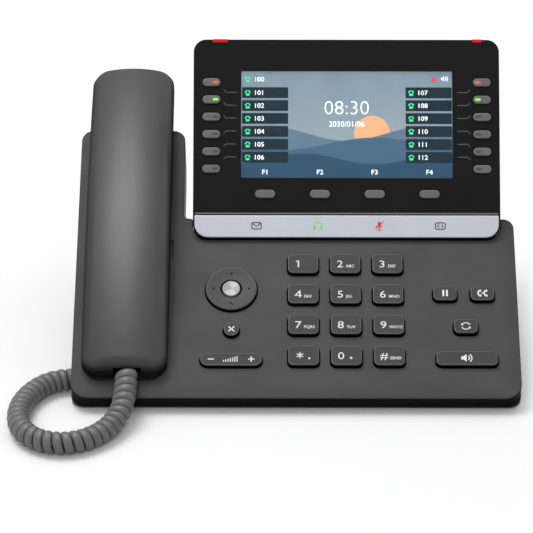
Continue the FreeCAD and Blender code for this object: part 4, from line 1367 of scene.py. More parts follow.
@dataclass(frozen=True)
class Base:
    """The moulded deck and tower that carry everything."""

    half_width: float = 116.0
    deck_depth: float = 112.0
    tower_depth: float = 171.0
    tower_right: float = -59.8
    front_corner: float = 9.0
    rear_corner: float = 5.4
    tower_corner: float = 7.0
    tower_foot: float = 3.3
    recess_corner: float = 8.0
    recess_mouth: float = 1.2
    recess_left: float = -54.8
    recess_right: float = 108.7
    recess_front: float = 98.2
    plate: float = 2.2
    parting: float = -9.0
    edge: float = 0.6
    roll: float = 9.0
    roll_drop: float = 0.75
    groove: float = 0.3
    groove_high: float = 0.45
    wall: float = 1.0
    key_lip: float = 0.3
    well_lip: float = 0.5
    cradle_x: float = -88.5
    hook_y: float = 148.0
    sound_y: float = 96.0
    sound_pitch: float = 5.0
    well_y: float = 28.0
    well_depth: float = 6.2
    finger_at: Point = (-66.6, 92.0)
    finger_depth: float = 1.2
    port_at: Point = (94.3, -5.6)
    port_radius: float = 0.9

    def outline(self) -> Outline:
        """The L-shaped deck with the notch in which the panel stands."""
        side, mouth = self.half_width, self.recess_mouth
        return rounded([
            (-side, 0, self.front_corner), (side, 0, self.front_corner),
            (side, self.deck_depth, self.rear_corner), (self.recess_right, self.deck_depth, mouth),
            (self.recess_right, self.recess_front, self.recess_corner),
            (self.recess_left, self.recess_front, self.recess_corner),
            (self.recess_left, self.deck_depth, mouth), (self.tower_right, self.deck_depth, self.tower_foot),
            (self.tower_right, self.tower_depth, self.tower_corner),
            (-side, self.tower_depth, self.tower_corner),
        ], 8)

    def drop(self, x: float, y: float) -> float:
        """How far the top falls away near the outer edges."""
        far = min(y, self.half_width - x, self.half_width + x, self.tower_depth - y)
        return self.roll_drop * max(0.0, 1.0 - far / self.roll) ** 2

    @staticmethod
    def wall_marks(outline: Outline) -> list[int]:
        """Finish of each wall face: black as painted shade in front and beside the panel, grey elsewhere."""
        return [1 if way.y < -0.3 or (way.x > 0.3 and x < 0) else 2
                for (x, _), way in zip(outline, outline.outward)]

    def openings(self) -> list[Outline]:
        """Slots over the loudspeaker in the cradle, and the hook's opening."""
        slots = [oblong(self.cradle_x, self.sound_y + step * self.sound_pitch, 24.0, 2.0, 0.95, 4)
                 for step in range(-2, 3)]
        return slots + [oblong(self.cradle_x, self.hook_y, 12.8, 7.8, 1.2, 4)]

    def build(self, keypad: Keypad) -> None:
        """The deck plate with its skirt, openings and wells, and a black disc painted as the shade of the microphone's
        opening.

        Args:
            keypad: The keys that the deck leaves openings for.
        """
        work = Moulding(DECK)
        outline = self.outline()
        top, bottom = self.skirt(work, outline)
        above: list[Ring] = []
        below: list[Ring] = []
        ways = keypad.holes() + self.openings()
        for way in ways:
            # The rolled edges of the openings are black as painted shade in the gaps round the keys and in the slots.
            rings = work.stack(way, rolled_in(self.key_lip, self.plate), 1)
            above.append(rings[0])
            below.append(rings[-1])
        well = oblong(self.cradle_x, self.well_y, 40.0, 36.0, 8.0, 8)
        finger = oblong(*self.finger_at, 3.0, 12.0, 1.45, 5)
        for pocket, depth in ((well, self.well_depth), (finger, self.finger_depth)):
            rings = work.stack(pocket, rolled_in(self.well_lip, depth))
            work.fill(rings[-1])
            above.append(rings[0])
            if depth > self.plate:
                outer = work.stack(pocket, [(self.plate, -depth - self.plate), (self.plate, -self.plate)])
                work.fill(outer[0], under=True)
                below.append(outer[1])
        work.fill(top, above, self.edge_points(outline, ways + [well, finger]))
        work.fill(bottom, below, under=True)
        skin = -2.0
        for point in work.points:
            if point.z > skin:
                point.z -= self.drop(point.x, point.y)
        piece = work.piece("deck_shell", DECK_PLASTIC, BLACK_PLASTIC_AND_PAINTED_SHADE, TUB_GREY_FRONT_PAINTED_SHADE)
        settle(piece, "base", "base_plastic", "top_cover")
        # A flat black disc, painted shade, stands in for the microphone's opening.
        port = Print(FRONT, 0.0)
        port.shape(disc(*self.port_at, self.port_radius, 20))
        port.piece("microphone_port", "base", "base_plastic", PAINTED_PORT_SHADE)

    def skirt(self, work: Moulding, outline: Outline) -> tuple[Ring, Ring]:
        """Walls from the rounded top edge down to the parting line, and up again inside.

        Args:
            work: The deck's points and faces.
            outline: The deck's outline.

        Returns:
            The ring round the top and the ring round the plate's underside.
        """
        rim = work.stack(outline, rounding(self.edge, 0.0, 5))
        foot = work.ring(grown(outline, -self.groove), self.parting)
        groove = work.ring(outline, self.parting + self.groove_high)
        work.band(foot, groove, mark=1)
        # Front walls and the walls beside the panel take black as painted shade.
        work.band(groove, rim[0], self.wall_marks(outline))
        inside = grown(outline, -self.wall)
        inner_foot, inner_top = work.ring(inside, self.parting), work.ring(inside, -self.plate)
        work.band(inner_foot, foot, mark=1)
        work.band(inner_top, inner_foot, mark=1)
        return rim[-1], inner_top

    def edge_points(self, outline: Outline, ways: Sequence[Outline]) -> list[Triple]:
        """Points along the rolled-off margin, clear of the openings.

        Args:
            outline: The deck's outline.
            ways: Its openings.

        Returns:
            The points.
        """
        pitch = 6.0
        edge = grown(outline, -self.edge - 0.8)
        clear = [grown(way, 1.2) for way in ways]
        spots: list[Point] = []
        for far in (2.6, 4.0, 5.6, 7.4, 9.4):
            spots += [(-self.half_width + far, step * pitch) for step in range(1, 29)]
            spots += [(self.half_width - far, step * pitch) for step in range(1, 19)]
            spots += [(step * pitch, far) for step in range(-19, 20)]
            spots += [(-60.0 - step * pitch, self.tower_depth - far) for step in range(1, 10)]
        return [(x, y, 0.0) for x, y in spots
                if holds(edge, x, y) and not any(holds(way, x, y) for way in clear)]


# Panel

@dataclass(frozen=True)
class Panel:
    """The tilted display panel with its keys, strip and screen."""

    left: float = -54.6
    right: float = 108.5
    low: float = -1.1
    high: float = 106.3
    low_corner: float = 8.0
    high_corner: float = 6.7
    depth: float = 11.0
    plate: float = 2.4
    wall: float = 2.0
    screen_x: float = 27.1
    screen_y: float = 60.3
    screen_wide: float = 112.6
    screen_high: float = 57.9
    strip_x: Point = (-53.8, 107.7)
    strip_y: Point = (-0.62, 11.2)
    strip_top: float = 0.24
    sign_y: float = 5.5
    sign_line: float = 0.55
    letter_x: float = -20.84
    headset_x: float = 11.76
    mute_x: float = 44.25
    arrows_x: float = 76.58
    line_x: Point = (-45.0, 99.2)
    line_top: float = 83.0
    line_pitch: float = 9.38
    line_size: Triple = (9.65, 4.4, 2.18)
    soft_left: float = -16.3
    soft_pitch: float = 29.1
    soft_y: float = 22.6
    soft_size: Triple = (10.9, 4.45, 2.2)
    key_gap: float = 0.32
    key_rise: float = 0.9
    key_foot: tuple[Point, ...] = ((0.7, -2.6), (0.7, -2.45), (0.0, -2.45))
    lamp_in: float = 2.2
    rows: int = 6
    label_top: float = 77.6
    label_pitch: float = 7.0
    back: float = -15.9

    def line_keys(self) -> list[Key]:
        """Six keys on each side of the screen."""
        return [Key(f"line_key_{side}_{row + 1}", x, self.line_top - self.line_pitch * row, *self.line_size)
                for side, x in zip(("left", "right"), self.line_x) for row in range(self.rows)]

    def soft_keys(self) -> list[Key]:
        """Four keys under the screen."""
        return [Key(f"soft_key_{place + 1}", self.soft_left + self.soft_pitch * place, self.soft_y,
                    *self.soft_size) for place in range(4)]

    def build(self) -> None:
        """Everything on the panel."""
        self.bezel()
        self.keys()
        self.brackets()
        self.strip()
        self.strip_signs()
        self.lens()
        self.rear()
        Screen(self).build()

    def bezel(self) -> None:
        """The front frame, with its window, key openings and the ledge for the strip."""
        work = Moulding(PANEL)
        outline = box((self.left, self.right), (self.low, self.high), self.low_corner, self.high_corner, 10)
        rim = work.stack(outline, [(0.0, -self.depth)] + rounding(0.15, 0.0))
        inside = work.stack(outline, [(-self.wall, -self.depth), (-self.wall, -self.plate)])
        work.band(inside[0], rim[0])
        work.band(inside[1], inside[0])
        above: list[Ring] = []
        below: list[Ring] = []
        ways = [grown(key.outline(), self.key_gap) for key in self.line_keys() + self.soft_keys()]
        ways.append(oblong(self.screen_x, self.screen_y, self.screen_wide, self.screen_high, 0.8, 4))
        for way in ways:
            rings = work.stack(way, [(0.2, 0.0), (0.0, -0.2), (0.0, -self.plate)])
            above.append(rings[0])
            below.append(rings[-1])
        rings = work.stack(self.strip_outline(0.12), [(0.06, 0.0), (0.0, -0.06), (0.0, -1.75)])
        work.fill(rings[-1])
        above.append(rings[0])
        work.fill(rim[-1], above)
        work.fill(inside[1], below, under=True)
        settle(work.piece("bezel", PANEL_BLACK), "panel", "panel_plastic", "panel_frame")

    def strip_outline(self, by: float = 0.0) -> Outline:
        """Outline of the silver strip at the panel's foot, moved outwards by a distance."""
        return grown(box(self.strip_x, self.strip_y, 7.2, 0.6, 8), by)

    def keys(self) -> None:
        """Grey caps, and a lamp window at the inner end of each line key."""
        edge, flat = 0.5, 1.1
        profile = [*self.key_foot, *rounding(edge, self.key_rise), (-flat, self.key_rise)]
        for key in self.line_keys() + self.soft_keys():
            work = Moulding(PANEL)
            work.slab(key.outline(8), profile)
            settle(work.piece(f"cap_{key.node}", PANEL_KEY), key.node, "panel_key_plastic", key.node)
        for key in self.line_keys():
            inward = math.copysign(self.lamp_in, -key.x)
            finish = {"1": LED_RED, "2": LED_GREEN}.get(key.node[-1], LED_DIM)
            lamp = Print(PANEL, self.key_rise, 0.06)
            lamp.shape(oblong(key.x + inward, key.y, 2.9, 1.3, 0.5, 4))
            lamp.piece(f"lamp_{key.node}", key.node, "panel_key_plastic", finish)

    def brackets(self) -> None:
        """Printed lines that lead from each line key to its label."""
        ink = Print(PANEL, 0.0, 0.025)
        for row in range(self.rows):
            label = self.label_top - self.label_pitch * row
            start = label + (1.4 if row < self.rows / 2 else -1.4)
            line = [(65.6, start), (64.4, label), (58.9, label)]
            for side in (-1.0, 1.0):
                ink.shape(stroke([(self.screen_x + side * across, up) for across, up in line], 0.3))
        ink.piece("label_lines", "panel", "panel_plastic", BRACKET_GREY)

    def strip(self) -> None:
        """The silver strip, and the trim line above it."""
        work = Moulding(PANEL)
        work.slab(self.strip_outline(), [(0.0, -1.7), *rounding(0.4, 0.2), (-0.55, self.strip_top)])
        settle(work.piece("strip", STRIP_SILVER), "panel", "silver_strip", "icon_strip")
        trim = Print(PANEL, 0.0, 0.12)
        wide = self.right - self.left - 2.4
        trim.shape(oblong((self.left + self.right) / 2, self.strip_y[1] + 1.0, wide, 0.75, 0.2, 2))
        trim.piece("strip_trim", "panel", "panel_plastic", BRACKET_GREY)

    def strip_signs(self) -> None:
        """The strip's four signs: a letter, a headset, a struck-out microphone and two arrows in a box."""
        y, line = self.sign_y, self.sign_line
        ink = Print(PANEL, self.strip_top)
        x = self.letter_x
        ink.box_line(x, y, 5.0, 3.4, line)
        ink.shape(stroke([(x - 2.3, y + 1.4), (x, y - 0.4), (x + 2.3, y + 1.4)], line))
        x = self.arrows_x
        ink.box_line(x, y, 5.2, 3.4, line)
        for side in (-1.0, 1.0):
            tip = [(x + side * 0.6, y + 0.9), (x + side * 1.5, y), (x + side * 0.6, y - 0.9)]
            ink.shape(stroke(tip, line))
        ink.piece("strip_signs_dark", "panel", "silver_strip", MARK_DARK)
        ink = Print(PANEL, self.strip_top)
        x = self.headset_x
        ink.shape(arc_band(x, y - 0.2, 2.0, line, 0, 180))
        for side in (-1.8, 1.8):
            ink.shape(oblong(x + side, y - 1.1, 1.15, 1.9, 0.4, 3))
        ink.piece("strip_sign_headset", "panel", "silver_strip", MARK_GREEN)
        ink = Print(PANEL, self.strip_top)
        x = self.mute_x
        ink.shape(oblong(x, y + 0.8, 1.6, 3.0, 0.78, 4))
        ink.shape(arc_band(x, y + 0.4, 1.6, 0.4, 180, 360))
        stem = [(x, y - 1.2), (x, y - 2.1)]
        foot = [(x - 1.3, y - 2.2), (x + 1.3, y - 2.2)]
        slash = [(x - 2.2, y - 1.6), (x + 2.2, y + 2.3)]
        for path in (stem, foot, slash):
            ink.shape(stroke(path, 0.5))
        ink.piece("strip_sign_mute", "panel", "silver_strip", MARK_RED)

    def lens(self) -> None:
        """The clear sheet over the display."""
        work = Moulding(PANEL)
        wide, high = self.screen_wide - 0.3, self.screen_high - 0.3
        outline = oblong(self.screen_x, self.screen_y, wide, high, 0.6, 4)
        work.slab(outline, [(0.0, -0.85), *rounding(0.12, -0.12, 2)])
        settle(work.piece("screen_glass", GLASS), "panel", "display_glass", "display_lens")

    def rear(self) -> None:
        """Louvres and a raised plate on the panel's back."""
        pitch, raised = 3.4, 0.7
        bars = Repeater(Repeat.ROW, 26, (1.5, 14.0, 0.9), 0.7, step=(pitch, 0.0, 0.0))
        for name, y in (("louvres_high", 88.0), ("louvres_low", 24.0)):
            start = (self.screen_x - 12.5 * pitch, y, self.back - raised - 0.1)
            bars.piece(name, REAR_GREY, PANEL, start, "panel", "panel_plastic")
        work = Moulding(PANEL)
        plate = oblong(self.screen_x, 56.0, 96.0, 34.0, 4.0, 6)
        work.slab(plate, [(-1.1, self.back - raised), (-0.8, self.back - raised), (0.0, self.back)])
        settle(work.piece("rear_plate", REAR_GREY), "panel", "panel_plastic")


@dataclass(frozen=True)
class Screen:
    """The lit picture behind the glass: a plain pattern, labels and a clock."""

    panel: Panel
    face: float = -1.15
    layer: float = 0.03
    label_layer: int = 5
    label_size: Triple = (24.6, 5.9, 0.02)
    word_size: float = 3.5
    bold: float = 0.012
    stretch: float = 1.08

    def spot(self, across: float, up: float) -> Point:
        """A point by its share of the screen's width and height."""
        return (self.panel.screen_x + (across - 0.5) * self.panel.screen_wide,
                self.panel.screen_y + (up - 0.5) * self.panel.screen_high)

    def wave(self, base: float, swell: float, lengths: float, shift: float) -> Outline:
        """The area under a wavy line, by shares: its middle height, its swing, its waves and their start."""
        crest = [self.spot(step / 48, base + swell * math.sin(math.tau * (lengths * step / 48 + shift)))
                 for step in range(48, -1, -1)]
        return Outline([self.spot(0.0, 0.0), self.spot(1.0, 0.0)] + crest)

    def line_label(self, ink: Print, number: int, x: float, y: float) -> None:
        """The green handset sign of a line and its number.

        Args:
            ink: Marks to draw in.
            number: The number.
            x: Middle of the sign across.
            y: Its middle along.
        """
        Keypad.receiver(ink, x, y + 0.7, 0.75, mark=1)
        ink.shape(oblong(x, y - 1.0, 2.2, 1.3, 0.5, 4), 1)
        ink.text(f"{number}", x + 3.2, y - 1.2, self.word_size, self.bold, align="LEFT", stretch=self.stretch)

    def build(self) -> None:
        """Background, labels, clock and key names."""
        full = [self.spot(0.0, 0.0), self.spot(1.0, 0.0), self.spot(1.0, 1.0), self.spot(0.0, 1.0)]
        sky = FadeFinish("screen_sky", srgb(113, 132, 144), rough=0.8, grain=0.0, specular=0.0, glow=0.6,
                         colour_below=srgb(146, 156, 161))
        sheets = (
            ("screen_ground", Outline(full), sky),
            ("screen_disc", disc(*self.spot(0.62, 0.42), 9.5, 48), screen_finish("amber", 212, 160, 120)),
            ("screen_wave_far", self.wave(0.42, 0.07, 1.3, 0.1), screen_finish("steel_blue", 90, 112, 128)),
            ("screen_wave_mid", self.wave(0.32, 0.06, 1.1, 0.55), screen_finish("blue", 68, 94, 114)),
            ("screen_wave_near", self.wave(0.18, 0.05, 1.5, 0.8), screen_finish("navy", 47, 74, 96)),
        )
        for layer, (name, outline, finish) in enumerate(sheets):
            ink = Print(PANEL, self.face + layer * self.layer, self.layer * 0.8)
            ink.shape(outline)
            ink.piece(name, "panel", "display_module", finish)
        self.labels()
        self.words()

    def starts(self) -> Point:
        """Where the labels of each side begin."""
        left = self.spot(0.0, 0.0)[0]
        return left + 0.5, left + self.panel.screen_wide - self.label_size[0] - 0.3

    def labels(self) -> None:
        """Dark boxes in a column on each side."""
        panel = self.panel
        boxes = Repeater(Repeat.ROW, panel.rows, self.label_size, 0.5, step=(0.0, -panel.label_pitch, 0.0))
        for side, x in zip(("left", "right"), self.starts()):
            start = (x + self.label_size[0] / 2, panel.label_top, self.face + self.label_layer * self.layer)
            boxes.piece(f"screen_labels_{side}", screen_finish("label", 33, 46, 55), PANEL, start, "panel",
                        "display_module")

    def words(self) -> None:
        """Line numbers, clock, date and key names."""
        panel = self.panel
        ink = Print(PANEL, self.face + (self.label_layer + 1) * self.layer, 0.02)
        for side, x in enumerate(self.starts()):
            for row in range(panel.rows):
                number = 101 + row + panel.rows * side
                self.line_label(ink, number, x + 3.0, panel.label_top - panel.label_pitch * row)
        ink.text("08:30", panel.screen_x, 65.8, 10.8, -0.016, stretch=1.03)
        ink.text("2030/01/06", panel.screen_x, 59.2, 4.2, 0.004)
        left, right = self.spot(0.0, 0.0)[0], self.spot(1.0, 0.0)[0]
        self.line_label(ink, 100, left + 3.5, 84.9)
        ink.shape(Outline([(right - 11.4, 83.8), (right - 8.2, 83.8), (right - 9.8, 86.6)]), 2)
        Keypad.loud(ink, right - 4.8, 85.2, 0.75)
        for place, key in enumerate(panel.soft_keys()):
            ink.text(f"F{place + 1}", key.x, 33.4, 3.6, self.bold, stretch=self.stretch)
        ink.piece("screen_words", "panel", "display_module", screen_finish("white", 248, 250, 252),
                  screen_finish("green", 70, 206, 140), screen_finish("red", 226, 62, 56))


# Handset

@dataclass(frozen=True)
class Pod:
    """A sound pod under the handset, with rows of holes in its floor."""

    y: float
    wide: float
    deep: float
    floor: float
    rows: int


@dataclass(frozen=True)
class Handset:
    """The handset: an arched, crowned back and a flat front with two sound pods.

    Attributes:
        line: Half the width of the groove between the shells.
        insets: Distances from the outline to the lines over the back.
        painted_shade_bands: Bands up from the parting line that take the walls' painted shade.
    """

    middle: float = -88.5
    half: float = 22.2
    low: float = 11.4
    high: float = 203.9
    low_corner: float = 7.5
    high_corner: float = 8.4
    least_corner: float = 0.3
    bow: float = 0.8
    rest: float = 0.8
    parting: float = 4.5
    arch: float = 22.5
    arch_sag: float = 10.5
    crown_sag: float = 4.5
    edge: float = 4.6
    edge_right: float = 2.4
    edge_low: float = 6.0
    edge_high: float = 1.8
    edge_steps: int = 8
    line: float = 0.25
    insets: tuple[float, ...] = (6.2, 8.2, 10.5, 13.0, 15.5, 18.0, 20.2)
    painted_shade_bands: int = 4
    sharp: float = 50.0
    ear: Pod = Pod(187.5, 34.0, 25.0, -8.0, 3)
    mouth: Pod = Pod(28.0, 30.0, 24.0, -4.8, 1)
    hole_pitch: Point = (3.6, 3.4)
    hole_depth: float = 1.6
    plug_at: Triple = (-81.4, 15.2, 6.4)

    def plan(self, inset: float) -> Outline:
        """Outline seen from above, with its bowed ends.

        Args:
            inset: Distance by which it is drawn in.

        Returns:
            The outline.
        """
        span = self.half - inset
        low, high = [max(radius - inset, self.least_corner) for radius in (self.low_corner, self.high_corner)]
        outline = box((self.middle - span, self.middle + span), (self.low + inset, self.high - inset), low,
                      high, 12, (10, 44, 10, 44))
        points = [(x, y + way.y * self.bow * (1 - ((x - self.middle) / span) ** 2))
                  for (x, y), way in zip(outline, outline.outward)]
        return Outline(points, outline.outward)

    @staticmethod
    def fall(far: float, reach: float, sag: float) -> float:
        """How far an arc has fallen at a distance, if it sags by so much at its reach."""
        radius = (reach ** 2 + sag ** 2) / (2 * sag)
        return radius - math.sqrt(radius ** 2 - min(far ** 2, radius ** 2))

    def height(self, x: float, y: float) -> float:
        """Height of the back at a point."""
        along = self.fall(y - (self.low + self.high) / 2, (self.high - self.low) / 2, self.arch_sag)
        return self.arch - along - self.fall(x - self.middle, self.half, self.crown_sag)

    def edge_radius(self, way: Vector) -> float:
        """Edge rounding where the outline faces a way: soft below and on the left, crisp elsewhere."""
        end, side = self.edge_low if way.y < 0 else self.edge_high, self.edge if way.x < 0 else self.edge_right
        return end + (side - end) * way.x * way.x

    @staticmethod
    def wall_marks(border: Outline) -> list[int]:
        """Finish of each wall face: painted shade, darker at the lower end."""
        return [2 if way.y < -0.3 else 1 for way in border.outward]

    def build(self) -> None:
        """Both shells and the plug."""
        self.back()
        self.front()
        modular_plug("plug_at_handset", "handset", "handset_plug", DECK, self.plug_at, 0.0)

    def back(self) -> None:
        """The arched back, from the parting line up over its soft edge."""
        work = Moulding(DECK)
        border = self.plan(0.0)
        least_wall = 0.8
        radii = [min(self.edge_radius(way), self.height(x, y) - self.parting - least_wall)
                 for (x, y), way in zip(border, border.outward)]
        rings = [work.ring(self.plan(self.line), self.parting), work.ring(border, self.parting + self.line)]
        for step in range(self.edge_steps + 1):
            turn = math.pi / 2 * step / self.edge_steps
            insets = [radius * (1 - math.cos(turn)) for radius in radii]
            plans = {inset: self.plan(inset) for inset in set(insets)}
            line = [plans[inset][index] for index, inset in enumerate(insets)]
            rings.append(list(range(len(work.points), len(work.points) + len(line))))
            work.points += [Vector((x, y, self.height(x, y) - radius * (1 - math.sin(turn))))
                            for (x, y), radius in zip(line, radii)]
        rings += [work.ring(self.plan(inset), self.height) for inset in self.insets]
        walls = self.wall_marks(border)
        # The lowest bands and the underside take painted shade, darker at the lower end.
        for index, (low, high) in enumerate(zip(rings, rings[1:])):
            work.band(low, high, walls if index < self.painted_shade_bands else 0)
        work.fill(rings[-1])
        work.fill(rings[0], under=True, mark=1)
        piece = work.piece("handset_back", HANDSET_PLASTIC, HANDSET_WALL_PAINTED_SHADE, HANDSET_END_PAINTED_SHADE, sharp=self.sharp)
        self.pocket(piece)
        settle(piece, "handset", "handset_plastic", "handset_top_shell")

    def front(self) -> None:
        """The flat lower shell with its ear and mouth pods and their sound holes."""
        work = Moulding(DECK)
        outline = self.plan(0.0)
        profile = [(-1.2, self.rest), (-0.5, self.rest + 0.3), (-0.1, self.rest + 0.9), (0.0, self.rest + 1.4),
                   (0.0, self.parting - self.line), (-self.line, self.parting)]
        # The walls take painted shade, darker at the lower end.
        shell = work.stack(outline, profile, self.wall_marks(outline))
        pods: list[Ring] = []
        for pod in (self.ear, self.mouth):
            rim = oblong(self.middle, pod.y, pod.wide, pod.deep, 8.0, 8)
            walls = work.stack(rim, [(-1.4, pod.floor), (-0.6, pod.floor + 0.8), (0.0, self.rest)])
            holes: list[Ring] = []
            for row in range(-(pod.rows // 2), pod.rows // 2 + 1):
                for column in range(-2, 3):
                    x = self.middle + (column + row % 2 / 2) * self.hole_pitch[0]
                    hole = disc(x, pod.y + row * self.hole_pitch[1], 0.9, 14)
                    tube = work.stack(hole, [(0.0, pod.floor), (0.0, pod.floor + self.hole_depth)])
                    # The floor of each hole is black as painted shade.
                    work.fill(tube[1], under=True, mark=3)
                    holes.append(tube[0])
            work.fill(walls[0], holes, under=True)
            pods.append(walls[-1])
        work.fill(shell[0], pods, under=True)
        work.fill(shell[-1])
        piece = work.piece("handset_front", HANDSET_UNDER, HANDSET_WALL_PAINTED_SHADE, HANDSET_END_PAINTED_SHADE, INK_AND_PAINTED_SHADE,
                           sharp=self.sharp)
        self.pocket(piece)
        settle(piece, "handset", "handset_plastic", "handset_bottom_shell")

    def pocket(self, piece: bpy.types.Object) -> None:
        """Cuts the pocket in the lower end that the cord's plug sits in, lined in black as painted shade.

        Args:
            piece: The shell that it is cut from.
        """
        left, right = self.plug_at[0] - 12.6, self.plug_at[0] + 4.4
        cut_box(piece, DECK, (left, self.low - 3.0, -1.0), (right - 2.6, self.low + 4.5, 9.4), INK_AND_PAINTED_SHADE)
        cut_box(piece, DECK, (left, self.low + 4.0, -1.0), (right, self.low + 11.0, 10.0), INK_AND_PAINTED_SHADE)


def modular_plug(name: str, body: str, node: str, place: Place, start: Triple, turn: float) -> bpy.types.Object:
    """A small clear plug with a latch, its wire end at a point.

    Args:
        name: Name of the piece.
        body: Body it rides on.
        node: CAD node it stands for.
        place: Axes it is set on.
        start: Point on those axes at the middle of its wire end.
        turn: Turn about the axes' upright, in degrees; unturned, it points along y.

    Returns:
        The plug.
    """
    contacts, pitch = 4, 1.27
    work = Moulding(place)
    work.slab(oblong(0.0, 3.5, 7.6, 7.0, 0.5, 3), [(-0.3, -3.1), (0.0, -2.8), *rounding(0.3, 2.6, 2)])
    work.slab(oblong(0.0, 2.9, 3.2, 6.6, 0.3, 2), [(0.0, 2.75), (0.0, 3.3)])
    for step in range(contacts):
        x = pitch * (step - (contacts - 1) / 2)
        work.slab(oblong(x, 6.3, 0.5, 1.2, 0.1, 2), [(0.0, 2.2), (0.0, 2.68)], mark=1)
    aim = Matrix.Translation(start) @ Matrix.Rotation(math.radians(turn), 4, "Z")
    for point in work.points:
        point.xyz = aim @ point
    return settle(work.piece(name, PLUG_CLEAR, GOLD), body, "plug_clear", node)


# Cord

@dataclass(frozen=True)
class CurlyCord:
    """The curly cord between the handset and the base's left side.

    Attributes:
        meeting: Curl at which its two lengths meet.
        still: Control point of the route from which on the cord stays with the base.
        radius: From the coil's middle line to the wire's.
        wide: Most width of the flat wire along the coil.
        thick: Thickness of the wire.
        share: Most share of the distance to the next curl that half the wire takes up.
    """

    curls: int = 35
    meeting: int = 18
    still: int = 7
    radius: float = 4.6
    wide: float = 4.7
    thick: float = 2.6
    share: float = 0.495
    per_curl: int = 28
    sides: int = 12
    at_handset: Triple = (-87.0, 9.0, 6.4)
    on_table: tuple[Triple, ...] = (
        (-87.2, -8.0, 12.9), (-91.3, -19.6, 7.7), (-99.0, -30.5, 6.3), (-109.5, -38.3, 6.3),
        (-121.5, -39.9, 6.3), (-133.0, -34.8, 6.3), (-140.0, -24.3, 6.3), (-142.0, -11.3, 6.3),
        (-140.5, 0.5, 6.3), (-136.2, 11.0, 6.3), (-129.6, 19.6, 6.3), (-120.4, 24.3, 6.3),
        (-109.2, 24.3, 6.3),
    )
    plug_at: Triple = (-103.0, 24.3, 6.3)

    def route(self) -> list[Vector]:
        """Control points of the coil's middle line, in metres, from the handset to the base."""
        return [DECK.at(*self.at_handset)] + [TABLE.at(*point) for point in self.on_table]

    def line(self) -> list[Vector]:
        """The smooth route.

        Returns:
            Points along it.
        """
        curve = bpy.data.curves.new("route", "CURVE")
        curve.dimensions = "3D"
        spline = curve.splines.new("NURBS")
        points = self.route()
        spline.points.add(len(points) - 1)
        for knot, point in zip(spline.points, points):
            knot.co = (*point, 1.0)
        spline.order_u = 3
        spline.use_endpoint_u = True
        spline.resolution_u = 24
        mesh = as_mesh(linked("route", curve))
        line = [vertex.co.copy() for vertex in mesh.vertices]
        bpy.data.meshes.remove(mesh)
        bpy.data.curves.remove(curve)
        return line

    def helix(self) -> tuple[list[Vector], list[Vector]]:
        """The wire's curls along the route.

        Returns:
            Middle line of the wire and, for each point, the direction away from the coil's middle.
        """
        line = self.line()
        lengths = [0.0]
        for before, after in zip(line, line[1:]):
            lengths.append(lengths[-1] + (after - before).length)
        total = self.curls * self.per_curl
        side = Vector((1.0, 0.0, 0.0))
        wire: list[Vector] = []
        away: list[Vector] = []
        run = 0
        for step in range(total + 1):
            along = lengths[-1] * step / total
            while run < len(line) - 2 and lengths[run + 1] < along:
                run += 1
            share = (along - lengths[run]) / (lengths[run + 1] - lengths[run])
            here = line[run].lerp(line[run + 1], share)
            ahead = (line[run + 1] - line[run]).normalized()
            side = (side - ahead * side.dot(ahead)).normalized()
            turn = math.tau * step / self.per_curl
            out = side * math.cos(turn) + ahead.cross(side) * math.sin(turn)
            wire.append(here + out * (self.radius * MM))
            away.append(out)
        return wire, away

    def build(self) -> None:
        """The coil as two lengths of flat wire that meet on the table, and its base plug."""
        wire, away = self.helix()
        widths = self.widths(wire)
        meeting = self.per_curl * self.meeting
        plug = modular_plug("plug_at_base", "base", "base_plug", TABLE, self.plug_at, -90.0)
        near_part, far_part = slice(0, meeting + 1), slice(meeting, None)
        near = self.tube("cord_handset_half", wire[near_part], away[near_part], widths[near_part])
        far = self.tube("cord_base_half", wire[far_part], away[far_part], widths[far_part])
        self.declare(far, wire[far_part][::-1], "base", [plug])
        self.declare(near, wire[near_part][::-1], "", [bpy.data.objects["plug_at_handset"]])
        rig.blend(near, "base", "handset", start=self.route()[self.still], end=self.route()[0])

    def declare(self, piece: bpy.types.Object, wire: list[Vector], body: str,
                plugs: list[bpy.types.Object]) -> None:
        """States a length of the cord to the frame.

        Args:
            piece: The length.
            wire: Middle line of its wire, from the base on.
            body: Body it rides on, or nothing for a length between two.
            plugs: Plugs on it.
        """
        length = sum((after - before).length for before, after in zip(wire, wire[1:]))
        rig.slot(piece, "cord_jacket")
        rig.replaces(piece, "handset_cord")
        if body:
            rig.ride(piece, body)
        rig.cord(piece, exit=wire[0], length=length, diameter=self.thick * MM, far_end="object", stiffness="medium",
                lay="coiled", path=wire, with_pieces=plugs)
        LOG.info("%s: %.0f mm of wire", piece.name, length / MM)

    def widths(self, wire: list[Vector]) -> list[float]:
        """Half width of the wire, which is less where neighbouring curls are close.

        Args:
            wire: Middle line of the wire.

        Returns:
            Half the width at each point, in metres.
        """
        halves = []
        for index, point in enumerate(wire):
            others = (index - self.per_curl, index + self.per_curl)
            nearest = min((wire[other] - point).length for other in others if 0 <= other < len(wire))
            halves.append(min(self.wide / 2 * MM, self.share * nearest))
        return halves

